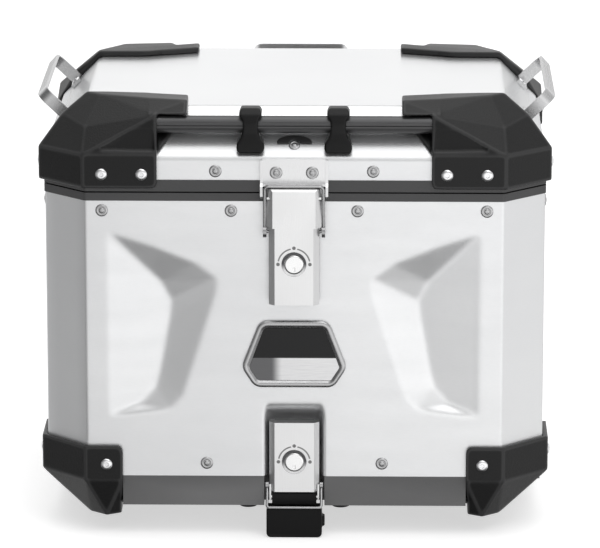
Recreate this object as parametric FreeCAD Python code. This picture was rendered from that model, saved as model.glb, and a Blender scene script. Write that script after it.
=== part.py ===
import FreeCAD, Part
import os, math, itertools
from FreeCAD import Vector

# Aluminium motorcycle top case with a rear-hinged lid, an over-centre upper latch,
# a lower latch whose claw grips a carrier plate, and black corner guards.
#
# +X is to the right when facing the latch side, +Y towards the hinge side, +Z up. The
# origin is the centre of the carrier bolt pattern, on the underside of the base pan.
#
# Most features are given by stations (x, back, up):
#   back = distance behind the front face of the shell,
#   up = height above the shell's top edge.

# ------------------------------------------------------------ driving dimensions (mm)
WIDTH, DEPTH = 430.0, 350.0           # shell
CHAMFER = 36.4                        # leg of the shell's 45 degree corner chamfers
SHEET = 1.5                           # sheet thickness
GAP = 0.1                             # assembly gap between touching sheets
INSIDE = -SHEET - GAP                 # outline offset of flanges lying inside the sheet
EDGE_Z = 269.6                        # Z of the shell's top edge
FRONT_Y = -DEPTH / 2                  # Y of the shell's front face

# Levels, as heights above the shell's top edge
FOOT, PAN_BOTTOM, PAN_TOP = -280.0, -269.6, -243.3
PARTING_LOW, PARTING_HIGH = 7.0, 8.2  # gap between the two rim profiles
LID_EDGE, LID_BEND, LID_TOP = 18.3, 37.2, 74.6

TOP_HALF_X, TOP_HALF_Y, TOP_CHAMFER = 179.8, 133.6, 34.0    # top plane of the lid
RIM_PROUD = 0.8                       # the rim profiles stand proud of the sheet

# Corner guards
GUARD = 5.0                           # guard's front face in front of the sheet
GUARD_CORNER_X, GUARD_CORNER_BACK = 180.5, 34.9             # ends of the corner slant
LID_GUARD_X, LID_GUARD_BACK = WIDTH / 2 + GUARD + 0.4, 78.0
LID_GUARD_END, LID_GUARD_LOW = -117, 11.2                   # end x (left side), lower edge
BOTTOM_GUARD_X, BOTTOM_GUARD_BACK = WIDTH / 2 + GUARD, 88.0
BOTTOM_GUARD_END, BOTTOM_GUARD_HIGH = -148, -216            # end x (left side), upper edge
BOTTOM_KNEE = -246.4                  # level where the guard turns in to the foot

# Axes parallel to X, as (back, up)
HINGE = (357.5, 7.6)
HINGE_PIN_R = 2.5
RAIL = (14.0, 63.9)
RAIL_BACK, RAIL_UP = RAIL
RAIL_R = 7.45
UPPER_PIVOT = (-10.5, 4.5)            # upper lever on its base
UPPER_BAIL = (-7.0, -25.0)            # bail on the upper lever
LOWER_PIVOT = (0.0, -262.0)
LOWER_BAIL = (2.0, -252.0)
PIVOT_R, PIVOT_BORE_R = 1.5, 1.55     # latch pins and their bores

UPPER_FACE, LOWER_FACE = -14.5, -4.0  # front faces of the levers
UPPER_LOCK, LOWER_LOCK = -52.0, -229.5                      # heights of the key cylinders
SHANK_R, HOLE_R = 1.95, 2.0           # rivet shank and its hole

LEFT, RIGHT = Vector(-1, 0, 0), Vector(1, 0, 0)
FRONT, BACK = Vector(0, -1, 0), Vector(0, 1, 0)
DOWN, UP = Vector(0, 0, -1), Vector(0, 0, 1)


# ------------------------------------------------------------ solids from stations
def place(x, back, up):
    return Vector(x, FRONT_Y + back, EDGE_Z + up)


def behind(back, front):
    """Distance behind the front face, or its mirror image at the rear."""
    return back if front else DEPTH - back


def polygon_face(points):
    return Part.Face(Part.makePolygon(list(points) + [points[0]]))


def sweep_x(outline, left, right):
    """(back, up) outline swept along X."""
    face = polygon_face([place(left, back, up) for back, up in outline])
    return face.extrude(Vector(right - left, 0, 0))


def sweep_y(outline, front, rear):
    """(x, up) outline swept along Y."""
    face = polygon_face([place(x, front, up) for x, up in outline])
    return face.extrude(Vector(0, rear - front, 0))


def sweep_z(outline, bottom, top):
    """(x, back) outline swept along Z."""
    face = polygon_face([place(x, back, bottom) for x, back in outline])
    return face.extrude(Vector(0, 0, top - bottom))


def box(left, right, front, rear, bottom, top):
    size = (right - left, rear - front, top - bottom)
    return Part.makeBox(*size, place(left, front, bottom))


def rod(start, axis, radius, length):
    return Part.makeCylinder(radius, length, start, axis)


def rod_x(left, right, centre, radius):
    """Rod along X, centred on (back, up)."""
    return rod(place(left, *centre), RIGHT, radius, right - left)


def octagon(offset, half_x=WIDTH / 2, half_y=DEPTH / 2, chamfer=CHAMFER):
    """(x, back) outline of the chamfered rectangle, offset outwards."""
    x, y, leg = half_x + offset, half_y + offset, chamfer + 0.5858 * offset
    outline = [
        (-x, -y + leg), (-x + leg, -y), (x - leg, -y), (x, -y + leg),
        (x, y - leg), (x - leg, y), (-x + leg, y), (-x, y - leg),
    ]
    return [(px, py + DEPTH / 2) for px, py in outline]


def octagon_block(offset, bottom, top, radius=4.0):
    """Offset case outline swept along Z, with its upright edges rounded."""
    block = sweep_z(octagon(offset), bottom, top)
    upright = []
    for edge in block.Edges:
        start, end = edge.Vertexes[0], edge.Vertexes[1]
        if abs(start.X - end.X) < 1e-6 and abs(start.Y - end.Y) < 1e-6:
            upright.append(edge)
    return block.makeFillet(radius, upright)


def ring(outer, inner, bottom, top):
    """Band between two offsets of the case outline."""
    solid = octagon_block(outer, bottom, top, max(4.0 + outer, 0.6))
    return solid.cut(octagon_block(inner, bottom - 1, top + 1, max(4.0 + inner, 0.6)))


def half_hull(flat):
    """One side of the convex outline of sorted (u, v, index) entries, last one left off."""
    chain = []
    for entry in flat:
        while len(chain) > 1:
            (u0, v0, _), (u1, v1, _) = chain[-2:]
            if (u1 - u0) * (entry[1] - v0) - (v1 - v0) * (entry[0] - u0) > 1e-7:
                break
            chain.pop()
        chain.append(entry)
    return chain[:-1]


def hull(points):
    """Convex solid round the points."""
    corners = []
    for point in points:
        if all((point - other).Length > 1e-4 for other in corners):
            corners.append(point)
    planes = []                       # (rounded plane, normal, indices of its corners)
    for i, j, k in itertools.combinations(range(len(corners)), 3):
        normal = (corners[j] - corners[i]).cross(corners[k] - corners[i])
        if normal.Length < 1e-6:
            continue
        normal.normalize()
        gaps = [normal.dot(corner - corners[i]) for corner in corners]
        if max(gaps) > 1e-4 and min(gaps) < -1e-4:
            continue
        if max(gaps) > 1e-4:
            normal, gaps = -normal, [-gap for gap in gaps]
        level = normal.dot(corners[i])
        key = tuple(round(value, 4) for value in (normal.x, normal.y, normal.z, level))
        known = any(
            all(abs(u - v) < 2e-3 for u, v in zip(plane[:3], key[:3]))
            and abs(plane[3] - key[3]) < 2e-2
            for plane, _, _ in planes
        )
        if not known:
            planes.append((key, normal, [n for n, gap in enumerate(gaps) if abs(gap) < 1e-4]))
    faces = []
    for _, normal, indices in planes:
        centre = Vector(0, 0, 0)
        for n in indices:
            centre = centre + corners[n]
        centre = centre * (1.0 / len(indices))
        across = (corners[indices[0]] - centre).normalize()
        along = normal.cross(across)
        flat = sorted(
            ((corners[n] - centre).dot(across), (corners[n] - centre).dot(along), n)
            for n in indices
        )
        outline = half_hull(flat) + half_hull(reversed(flat))
        faces.append(polygon_face([corners[entry[2]] for entry in outline]))
    solid = Part.Solid(Part.Shell(faces))
    return solid if solid.Volume > 0 else solid.reversed()


def hull_at(stations):
    return hull([place(*station) for station in stations])


def mirror_x(shape):
    return shape.mirror(Vector(0, 0, 0), Vector(1, 0, 0))


def fuse(shapes):
    return shapes[0].fuse(shapes[1:]).removeSplitter()


def largest(shape):
    return max(shape.Solids, key=lambda solid: solid.Volume)


def wire(points, radius, bend=3.5):
    """Round wire along a polyline, its centreline bent to the given radius at the corners."""
    edges, start = [], points[0]
    for before, corner, after in zip(points, points[1:], points[2:]):
        back_way, on_way = (before - corner).normalize(), (after - corner).normalize()
        half_angle = math.acos(max(-1.0, min(1.0, back_way.dot(on_way)))) / 2
        setback = bend / math.tan(half_angle)
        arc_start, arc_end = corner + back_way * setback, corner + on_way * setback
        inward = (back_way + on_way).normalize()
        centre = corner + inward * (bend / math.sin(half_angle))
        edges.append(Part.makeLine(start, arc_start))
        edges.append(Part.Arc(arc_start, centre - inward * bend, arc_end).toShape())
        start = arc_end
    edges.append(Part.makeLine(start, points[-1]))
    section = Part.Wire([Part.makeCircle(radius, points[0], points[1] - points[0])])
    return Part.Wire(edges).makePipeShell([section], True, True)


os.makedirs("parts", exist_ok=True)


def save(name, *shapes):
    solids = [solid for shape in shapes for solid in shape.Solids]
    piece = solids[0] if len(solids) == 1 else Part.makeCompound(solids)
    piece.exportStep("parts/%s.step" % name)


def save_pair(name, left):
    save(name + "_left", left)
    save(name + "_right", mirror_x(left))


# ------------------------------------------------------------ rivets and screws
# A spot is (point on the outer surface, outward direction).
# Head styles: (head radius, head thickness, tail radius)
SHEET_HEAD = (5.4, 1.7, 3.2)
GUARD_HEAD = (5.2, 1.9, 3.2)
KEEPER_HEAD = (5.5, 1.7, 3.2)
BUFFER_HEAD = (4.8, 1.7, 3.0)
LEAF_HEAD = (4.6, 1.6, 3.0)           # hinges and grab loops
LATCH_HEAD = (4.0, 1.2, 3.0)


def rivet(point, out, grip, head):
    """Shank with a bevelled disc head outside and a flat tail beyond the grip."""
    head_r, head_t, tail_r = head
    rim_t = head_t * 0.45
    cone_start = point + out * (0.02 + rim_t)
    return fuse([
        rod(point + out * 0.2, -out, SHANK_R, grip + 1.4),
        Part.makeCone(head_r, head_r * 0.72, head_t * 0.55, cone_start, out),
        rod(point + out * 0.02, out, head_r, rim_t),
        rod(point - out * (grip + 0.05), -out, tail_r, 1.2),
    ])


def rivets(spots, grip, head):
    return [rivet(point, out, grip, head) for point, out in spots]


def holes(spots, depth, radius=HOLE_R):
    return [rod(point + out * 0.5, -out, radius, depth) for point, out in spots]


def raised(spots, rise):
    return [(point + out * rise, out) for point, out in spots]


def wall_spots(up, front_xs, rear_xs, side_backs):
    """Spots round the four walls at one height."""
    spots = [(place(x, 0, up), FRONT) for x in front_xs]
    spots += [(place(x, DEPTH, up), BACK) for x in rear_xs]
    spots += [(place(-WIDTH / 2, back, up), LEFT) for back in side_backs]
    spots += [(place(WIDTH / 2, back, up), RIGHT) for back in side_backs]
    return spots


def guard_spots(up, xs, side_x, side_back):
    """Spots on the four corner guards at one height."""
    spots = []
    for side in (-1, 1):
        spots += [(place(side * x, -GUARD, up), FRONT) for x in xs]
        spots += [(place(side * x, DEPTH + GUARD, up), BACK) for x in xs]
        for back in (side_back, DEPTH - side_back):
            spots.append((place(side * side_x, back, up), Vector(side, 0, 0)))
    return spots


HINGE_XS = (-72.0, 72.0)


def hinge_spots(up):
    return [(place(x + dx, DEPTH + 2.9, up), BACK) for x in HINGE_XS for dx in (-22.0, 22.0)]


def front_spots(back, stations):
    return [(place(x, back, up), FRONT) for x, up in stations]


RIM_SPOTS = wall_spots(
    -8.5, (-164.3, -54.0, 54.0, 164.3), (-164.3, -30.0, 30.0, 164.3), (48.0, 175.0, 302.0))
PAN_SPOTS = wall_spots(-231.8, (-75.5, 75.5), (-75.5, 75.5), (120.0, 230.0))
LID_SPOTS = wall_spots(26.0, (-67.2, 67.2), (-30.0, 30.0), (120.0, 230.0))
LID_GUARD_SPOTS = guard_spots(23.8, (130.1, 164.3), LID_GUARD_X, 56.0)
BOTTOM_GUARD_SPOTS = guard_spots(-232.2, (162.0,), BOTTOM_GUARD_X, 53.0)
HINGE_BODY_SPOTS = hinge_spots(-24.0)
HINGE_LID_SPOTS = hinge_spots(27.0)
UPPER_BASE_SPOTS = front_spots(-2.1, ((-8.0, -24.0), (8.0, -24.0), (0.0, -78.0)))
LOWER_BASE_SPOTS = front_spots(12.0, ((-9.0, -205.0), (9.0, -205.0), (0.0, -236.0)))
KEEPER_SPOTS = front_spots(-3.0, ((-15.4, 25.4), (15.4, 25.4)))

# ------------------------------------------------------------ body shell
# Pressed pocket in the left of the front wall, as (x, up): edge at the face, then floor
POCKET_EDGE = [
    (-158, -28), (-123, -39), (-84, -54.5), (-66, -68), (-67, -80),
    (-81, -124.5), (-96.5, -173), (-106, -183), (-133, -186.5), (-158, -189.5),
]
POCKET_FLOOR = [
    (-158, -36), (-132, -57), (-115, -72.5), (-106, -90), (-107, -103),
    (-116, -152), (-119.5, -165.5), (-133, -180.5), (-157, -189),
]
# The floor slopes: (x, depth) at its outer and inner ends
POCKET_SHALLOW, POCKET_DEEP = (-158.0, 0.4), (-106.0, 12.0)
RECESS_HALF, RECESS_BACK = 25.0, 14.0    # lower latch recess


def spread(outline, grow):
    """Outline with every point moved away from the mean point by grow."""
    mean_x = sum(point[0] for point in outline) / len(outline)
    mean_up = sum(point[1] for point in outline) / len(outline)
    moved = []
    for x, up in outline:
        reach = math.hypot(x - mean_x, up - mean_up)
        moved.append((x + (x - mean_x) / reach * grow, up + (up - mean_up) / reach * grow))
    return moved


def pocket(grow=0.0):
    (x0, depth0), (x1, depth1) = POCKET_SHALLOW, POCKET_DEEP
    edge, floor = spread(POCKET_EDGE, grow), spread(POCKET_FLOOR, grow * 0.8)
    mouth, face = (-2.0, 0.0) if grow == 0 else (0.5, 1.3)
    stations = [(x, mouth, up) for x, up in edge] + [(x, face, up) for x, up in edge]
    for x, up in floor:
        stations.append((x, depth0 + (depth1 - depth0) * (x - x0) / (x1 - x0) + grow, up))
    return hull_at(stations)


def panel_press(side, grow=0.0):
    """Shallow press in the left (-1), right (1) or back (0) wall."""
    inner, outer = (95.0, 130.0) if side == 0 else (70.0, 105.0)
    low, high, corner, depth = -196.0, -60.0, 34.0, 4.0

    def outline(wider):
        end = outer + wider
        return [
            (-end, low + corner), (-end, high - corner), (-inner, high + wider),
            (inner, high + wider), (end, high - corner), (end, low + corner),
            (inner, low - wider), (-inner, low - wider),
        ]

    levels = (2.0, 0.0) if grow == 0 else (-0.5, -1.2)
    points = [(along, up, out) for along, up in outline(grow) for out in levels]
    points += [(along, up, -depth - grow) for along, up in outline(grow - 10.0)]
    if side == 0:
        return hull_at([(along, DEPTH + out, up) for along, up, out in points])
    return hull_at([
        (side * (WIDTH / 2 + out), DEPTH / 2 + along, up) for along, up, out in points])


def body_shell():
    left_pocket, left_pocket_wall = pocket(), pocket(SHEET)
    recess = sweep_x(
        [(-2, -178.5), (0, -178.5), (RECESS_BACK, -194), (RECESS_BACK, -300), (-2, -300)],
        -RECESS_HALF, RECESS_HALF)
    wall_back = RECESS_BACK + SHEET
    recess_wall = sweep_x(
        [(1.0, -176.0), (wall_back, -192.5), (wall_back, -300), (1.0, -300)],
        -RECESS_HALF - SHEET, RECESS_HALF + SHEET)
    presses = [panel_press(side) for side in (-1, 0, 1)]
    press_walls = [panel_press(side, SHEET) for side in (-1, 0, 1)]

    shell = octagon_block(0, PAN_TOP, 0.0)
    cavity = octagon_block(-SHEET, PAN_TOP - 1, 1.0, 2.5)
    # The cavity leaves a sheet of metal behind every pressing
    cavity = cavity.cut(
        [left_pocket_wall, mirror_x(left_pocket_wall), recess_wall] + press_walls)
    shell = shell.cut([cavity, left_pocket, mirror_x(left_pocket), recess] + presses)
    return shell.cut(
        holes(RIM_SPOTS + PAN_SPOTS + HINGE_BODY_SPOTS, 8.0) + holes(BOTTOM_GUARD_SPOTS, 14.0)
        + holes(UPPER_BASE_SPOTS, 8.0) + holes(LOWER_BASE_SPOTS, 8.0))


save("body_shell", body_shell())


# ------------------------------------------------------------ sloping bottom corners
def corner_form(front, side, inset):
    """Outer form of a bottom corner guard, drawn in by inset."""
    front_face, side_face = -GUARD + inset, -BOTTOM_GUARD_X + inset
    outline = [
        (BOTTOM_GUARD_END, front_face), (-GUARD_CORNER_X + 0.4 * inset, front_face),
        (side_face, GUARD_CORNER_BACK - 0.4 * inset), (side_face, BOTTOM_GUARD_BACK),
    ]
    inner = (BOTTOM_GUARD_END, BOTTOM_GUARD_BACK)
    foot = [
        (-150, 9.0 + inset), (-162.5, 1.5 + inset), (-176.5 + inset, 13.5 + inset),
        (-181 + inset, 26 + 0.4 * inset), (-183 + inset, BOTTOM_GUARD_BACK),
        inner, (BOTTOM_GUARD_END, 9.0 + inset),
    ]
    stations = [(x, back, -243.0) for x, back in outline + [inner]]
    stations += [(x, back, BOTTOM_KNEE + 0.5 * inset) for x, back in outline]
    stations += [(*inner, BOTTOM_KNEE)]
    stations += [(x, back, FOOT) for x, back in foot]
    return hull_at([(-side * x, behind(back, front), up) for x, back, up in stations])


def corner_trims(inset):
    """Tools that take away all that lies outside the four inset corner forms."""
    trims = []
    for side in (-1, 1):
        for front in (True, False):
            left, right = sorted((side * (-BOTTOM_GUARD_END + GAP), side * 240))
            ends = sorted((behind(-12.0, front), behind(BOTTOM_GUARD_BACK - GAP, front)))
            zone = box(left, right, *ends, -290, -246.0)
            trims.append(zone.cut(corner_form(front, side, inset)))
    return trims


# ------------------------------------------------------------ base pan, mat and tongue
RACK_PITCH_X, RACK_PITCH_Y, RACK_HOLE_R = 160.0, 120.0, 3.25    # carrier bolt pattern
RACK_HOLES = [
    (sx * RACK_PITCH_X / 2, DEPTH / 2 + sy * RACK_PITCH_Y / 2)
    for sx in (-1, 1) for sy in (-1, 1)
]
TONGUE_BACK = 322.0                   # rear edge of the tongue's plate
TONGUE_BOLTS = [(-22.0, TONGUE_BACK - 16), (22.0, TONGUE_BACK - 16)]
BOLT_HOLE_R = 2.6
NOTCH_HALF, NOTCH_BACK = 26.0, 16.6   # front notch for the lower latch


def upright_holes(spots, bottom, radius):
    return [rod(place(x, back, bottom), UP, radius, 12) for x, back in spots]


def base_pan():
    under_shell = PAN_TOP - 0.05
    wall = octagon_block(0, PAN_BOTTOM, under_shell)
    wall = wall.cut(octagon_block(-2, PAN_BOTTOM + 2, PAN_TOP + 5, 2.0))
    flange = ring(INSIDE, INSIDE - 1.5, PAN_BOTTOM + 1.0, -220.0)
    flange = flange.cut([box(-27.9, 27.9, -5, 18.8, under_shell, -200)])
    well = box(-28.0, 28.0, 0.2, 18.6, PAN_BOTTOM, under_shell)
    pan = fuse([wall, flange, well])
    notch = box(-NOTCH_HALF, NOTCH_HALF, -5, NOTCH_BACK, PAN_BOTTOM - 5, PAN_TOP + 5)
    pan = pan.cut([notch])
    pan = pan.cut(upright_holes(RACK_HOLES, PAN_BOTTOM - 5, RACK_HOLE_R))
    pan = pan.cut(upright_holes(TONGUE_BOLTS, PAN_BOTTOM - 5, BOLT_HOLE_R))
    pan = pan.cut(holes(PAN_SPOTS, 10.0) + holes(BOTTOM_GUARD_SPOTS, 16.0))
    return largest(pan.cut(corner_trims(4.0)))


def floor_mat():
    mat = octagon_block(-6.0, PAN_BOTTOM + 2.1, PAN_BOTTOM + 5.1, 4.0)
    well_opening = box(-31, 31, -5, 22, PAN_BOTTOM, PAN_BOTTOM + 10)
    mat = mat.cut([well_opening] + upright_holes(RACK_HOLES, PAN_BOTTOM, 8.0))
    mat = mat.cut(upright_holes(TONGUE_BOLTS, PAN_BOTTOM, 7.0))
    return largest(mat.cut(corner_trims(4.5)))


def carrier_tongue():
    """Plate under the rear of the pan with a lip that drops and points backwards."""
    top, low = PAN_BOTTOM - GAP, PAN_BOTTOM - 14.0
    tongue = fuse([
        box(-38, 38, TONGUE_BACK - 28, TONGUE_BACK, PAN_BOTTOM - 3.1, top),
        box(-26, 26, TONGUE_BACK - 3.0, TONGUE_BACK, low, top),
        box(-26, 26, TONGUE_BACK - 3.0, TONGUE_BACK + 15.0, low, low + 3.0),
    ])
    return tongue.cut(upright_holes(TONGUE_BOLTS, PAN_BOTTOM - 8, BOLT_HOLE_R))


def tongue_bolt(x, back):
    return fuse([
        rod(place(x, back, PAN_BOTTOM - 3.12), DOWN, 5.0, 3.0),     # head
        rod(place(x, back, PAN_BOTTOM - 4.0), UP, 2.5, 10.0),
        rod(place(x, back, PAN_BOTTOM + 2.05), UP, 4.6, 2.6),       # nut
    ])


def rubber_pad(x, back):
    return Part.makeCone(9.0, 7.5, 3.6, place(x, back, PAN_BOTTOM - 0.05), DOWN)


save("base_pan", base_pan())
save("floor_mat", floor_mat())
save("carrier_tongue", carrier_tongue())
save("tongue_bolts", *[tongue_bolt(x, back) for x, back in TONGUE_BOLTS])
save("rubber_pads", *[rubber_pad(x, back) for x in (-40.0, 40.0) for back in (13.0, DEPTH - 13.0)])


# ------------------------------------------------------------ rim profiles and seal
def body_rim():
    rim = fuse([
        ring(RIM_PROUD, -1.5, 0.05, PARTING_LOW),
        ring(RIM_PROUD, -13.0, PARTING_LOW - 2.2, PARTING_LOW),
        ring(INSIDE, INSIDE - 1.8, -18.0, PARTING_LOW - 0.5),
        ring(-11.4, -13.0, PARTING_LOW - 6.0, PARTING_LOW - 1.0),
    ])
    return rim.cut(holes(RIM_SPOTS, 8.0))


def lid_rim():
    rim = fuse([
        ring(RIM_PROUD, -1.5, PARTING_HIGH, LID_EDGE - 0.05),
        ring(RIM_PROUD, -13.0, PARTING_HIGH, PARTING_HIGH + 3.0),
        ring(INSIDE, INSIDE - 1.8, PARTING_HIGH + 0.5, 34.0),
    ])
    seal_groove = ring(-5.0, -9.0, PARTING_HIGH - 1, PARTING_HIGH + 2.0)
    return rim.cut(
        [seal_groove] + holes(LID_SPOTS + HINGE_LID_SPOTS, 8.0)
        + holes(LID_GUARD_SPOTS, 14.0) + holes(KEEPER_SPOTS, 9.0))


save("body_rim", body_rim())
save("lid_rim", lid_rim())
save("lid_seal", ring(-5.05, -8.95, PARTING_LOW + 0.05, PARTING_HIGH + 1.95))

# ------------------------------------------------------------ lid sheet
SLOPE_RISE = LID_TOP - LID_BEND
SIDE_RUN, END_RUN = WIDTH / 2 - TOP_HALF_X, DEPTH / 2 - TOP_HALF_Y
SIDE_NORMAL = Vector(SLOPE_RISE, 0, SIDE_RUN).normalize()       # right slope
SIDE_FALL = Vector(SIDE_RUN, 0, -SLOPE_RISE).normalize()
REAR_NORMAL = Vector(0, SLOPE_RISE, END_RUN).normalize()
REAR_FALL = Vector(0, END_RUN, -SLOPE_RISE).normalize()
FRONT_NORMAL = Vector(0, -SLOPE_RISE, END_RUN).normalize()


def on_front(x, back):
    """Point on the lid's front slope."""
    return place(x, back, LID_BEND + SLOPE_RISE / END_RUN * back)


def on_side(side, back, up):
    """Point on the lid's left (-1) or right (1) slope."""
    return place(side * (WIDTH / 2 - (up - LID_BEND) * SIDE_RUN / SLOPE_RISE), back, up)


def to_side(side, vector):
    return Vector(side * vector.x, vector.y, vector.z)


SIDE_LOOP_UP = 54.2
SIDE_LOOP_SPOTS = {
    side: [
        (on_side(side, back, SIDE_LOOP_UP), to_side(side, SIDE_NORMAL))
        for back in (108.0, 244.0)
    ]
    for side in (-1, 1)
}
REAR_LOOP_CENTRE = place(0, 335.5, 50.3)
REAR_LOOP_SPOTS = [(REAR_LOOP_CENTRE + Vector(x, 0, 0), REAR_NORMAL) for x in (-32.0, 32.0)]
LOOP_SPOTS = SIDE_LOOP_SPOTS[-1] + SIDE_LOOP_SPOTS[1] + REAR_LOOP_SPOTS
BRACKET_XS, BRACKET_SCREW_BACK = (-37.4, 37.4), 31.0
BRACKET_SPOTS = [(on_front(x, BRACKET_SCREW_BACK), FRONT_NORMAL) for x in BRACKET_XS]
BUFFER_SPOT = (on_front(0.0, 10.2), FRONT_NORMAL)


def loop_holes(spots):
    return holes(raised(spots, 3.2), 9.0)


def lid_form(offset, bottom):
    """Outer form of the lid, offset: skirt, four slopes, four corner slopes, top."""
    outline = octagon(offset)
    top = octagon(offset * 0.4, TOP_HALF_X, TOP_HALF_Y, TOP_CHAMFER)
    stations = [(x, back, bottom) for x, back in outline]
    stations += [(x, back, LID_BEND + offset * 0.43) for x, back in outline]
    stations += [(x, back, LID_TOP + offset) for x, back in top]
    return hull_at(stations)


def lid_shell():
    lid = lid_form(0.0, LID_EDGE).cut(lid_form(-SHEET, LID_EDGE - 5))
    lid = lid.cut(
        holes(LID_SPOTS + HINGE_LID_SPOTS, 9.0) + holes(LID_GUARD_SPOTS, 16.0)
        + holes(KEEPER_SPOTS, 9.0) + loop_holes(LOOP_SPOTS))
    return lid.cut(holes(BRACKET_SPOTS, 6.0, 2.6) + holes([BUFFER_SPOT], 6.0))


save("lid_shell", lid_shell())

# ------------------------------------------------------------ lid corner guards
LID_CLEAR = lid_form(GAP, LID_EDGE - 1)
RIM_CLEAR = octagon_block(RIM_PROUD + GAP, -5, LID_EDGE + 0.1)
FRONT_GUARD_TOP, REAR_GUARD_TOP = 83.5, 80
KNEE_LEVELS = (41.0, 41.0, 40.5, 30.5)    # tops of the lid guards' upright walls


def guard_wall(front, end_x, side_x, end_back, inner_back, edge_up, knee_ups):
    """Stations of a left guard's upright wall, from its edge to its knee."""
    outline = [
        (end_x, -GUARD), (-GUARD_CORNER_X, -GUARD),
        (-side_x, GUARD_CORNER_BACK), (-side_x, end_back),
    ]
    stations = [(x, back, edge_up) for x, back in outline + [(end_x, inner_back)]]
    stations += [(x, back, up) for (x, back), up in zip(outline, knee_ups)]
    return [(x, behind(back, front), up) for x, back, up in stations]


def lid_guard_wall(front, inner_back):
    return guard_wall(front, LID_GUARD_END, LID_GUARD_X, LID_GUARD_BACK, inner_back,
                      LID_GUARD_LOW, KNEE_LEVELS)


def corner_round(x, up, facing, front):
    """Tool that rounds a guard's right-hand corner; facing is 1 if it points up, -1 down."""
    radius = 5.0
    start, end = (-9, 2) if front else (DEPTH - 2, DEPTH + GUARD + 4)
    centre_up = up - facing * radius
    corner = box(x - radius, x + 1, start, end, *sorted((centre_up, up + facing)))
    return corner.cut(rod(place(x - radius, start - 1, centre_up), BACK, radius, end - start + 2))


def front_lid_guard():
    top = FRONT_GUARD_TOP
    guard = hull_at(lid_guard_wall(True, 60) + [
        (-179, 17, 61.2), (-200.4, 45, 67.2), (-200.8, LID_GUARD_BACK, 58.0),
        (-181, 76, 78.0), (-166, -4.2, 43.5), (-117, 7.5, 73.6), (-167, 46.5, top),
        (-125, 30, top), (-179.5, 57.5, top), (-160, 57, top), (-125, 52.5, top),
        (-117, 62, 76), (-150, 74, 77.5),
    ])
    # Wing that reaches towards the middle, over the end of the rail
    wing = hull_at([
        (-91.5, 44.5, top), (-91.5, 21, top), (-91.5, 8, 73.6), (-91.5, 8, 72.7),
        (-91.5, 48, 74), (-91.5, 48, 70), (-124, 29.7, top), (-124, 52.2, top),
        (-124, 9.5, 73.6), (-124, 9.5, 73.0), (-124, 56, 74), (-124, 56, 70),
    ])
    # Flat web lying on the front slope under the wing
    web_outline = [(-124, 2.0), (-117.0, 2.0), (-98.6, 25.0), (-97.0, 40.0), (-124, 40.0)]
    web = hull([
        on_front(x, back) + FRONT_NORMAL * rise for rise in (GAP, 2.7) for x, back in web_outline])
    guard = fuse([guard, wing])
    front_recess = hull_at([
        (-170, -9, 44.0), (-118.5, -9, 44.0), (-119, -6, 73.5),
        (-166, -1.6, 45.2), (-118.5, -1.6, 44.0), (-119, 6.0, 73.0),
    ])
    guard = guard.cut([LID_CLEAR, RIM_CLEAR, front_recess])
    rail_socket = rod_x(-128.2, -68.2, RAIL, RAIL_R + GAP)
    under_wing = box(-116.4, -80, 4.0, 23.0, 50, 72.6)
    guard = guard.cut([rail_socket, under_wing])
    guard = fuse([largest(guard), web]).cut([rail_socket, LID_CLEAR])
    edge_bevel = sweep_x([(-6, 10), (-6, 12), (-2, 10)], -230, -100)
    guard = guard.cut([edge_bevel, corner_round(LID_GUARD_END, LID_GUARD_LOW, -1, True)])
    return largest(guard.cut(holes(LID_GUARD_SPOTS, 12.0)))


def rear_lid_guard():
    top = REAR_GUARD_TOP
    guard = hull_at(lid_guard_wall(False, 50) + [
        (-179, DEPTH - 18, 61.2), (-202.6, DEPTH - LID_GUARD_BACK, 60.8),
        (-180, 261, top), (-181, 268, top), (-136, 284, top), (-136, 262, top),
        (-117, 292, top), (-117, 271, top), (-112, 296, 79.6),
        (-117, 315, 78), (-160, 306, 78.5), (-117, 345, 62),
    ])
    wing = hull_at([
        (-91.5, 281, top), (-91.5, 303, top), (-91.5, 311, 72), (-91.5, 281, 70),
        (-124, 268, top), (-124, 289, top), (-124, 312, 72), (-124, 268, 70),
    ])
    guard = fuse([guard, wing]).cut([LID_CLEAR, RIM_CLEAR])
    rounding = corner_round(LID_GUARD_END, LID_GUARD_LOW, -1, False)
    return largest(guard.cut(holes(LID_GUARD_SPOTS, 12.0) + [rounding]))


save_pair("lid_guard_front", front_lid_guard())
save_pair("lid_guard_rear", rear_lid_guard())

# ------------------------------------------------------------ bottom guards (the feet)
PAN_CLEAR = octagon_block(GAP, PAN_BOTTOM - 0.1, 5).cut(corner_trims(3.9))
FOOT_OUTLINE = [    # (x, back) at the ground
    (-150, 9), (-162.5, 1.5), (-176.5, 13.5), (-181, 26), (-183, 70), (-150, 70)]
FOOT_HOLLOW = [(-156, 18), (-165, 13), (-174, 24), (-176, 62), (-156, 62)]


def bottom_guard(front):
    wall = guard_wall(front, BOTTOM_GUARD_END, BOTTOM_GUARD_X, BOTTOM_GUARD_BACK, 60,
                      BOTTOM_GUARD_HIGH, (BOTTOM_KNEE,) * 4)
    guard = hull_at(wall + [(x, behind(back, front), FOOT) for x, back in FOOT_OUTLINE])
    guard = guard.cut(PAN_CLEAR)
    # The underside is hollowed so that the foot stands on a rim
    hollow = [(x, behind(back, front)) for x, back in FOOT_HOLLOW]
    guard = guard.cut(sweep_z(hollow, FOOT - 1, FOOT + 7))
    guard = guard.cut(holes(BOTTOM_GUARD_SPOTS, 12.0))
    return largest(guard.cut(corner_round(BOTTOM_GUARD_END, BOTTOM_GUARD_HIGH, 1, front)))


save_pair("bottom_guard_front", bottom_guard(True))
save_pair("bottom_guard_rear", bottom_guard(False))

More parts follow.
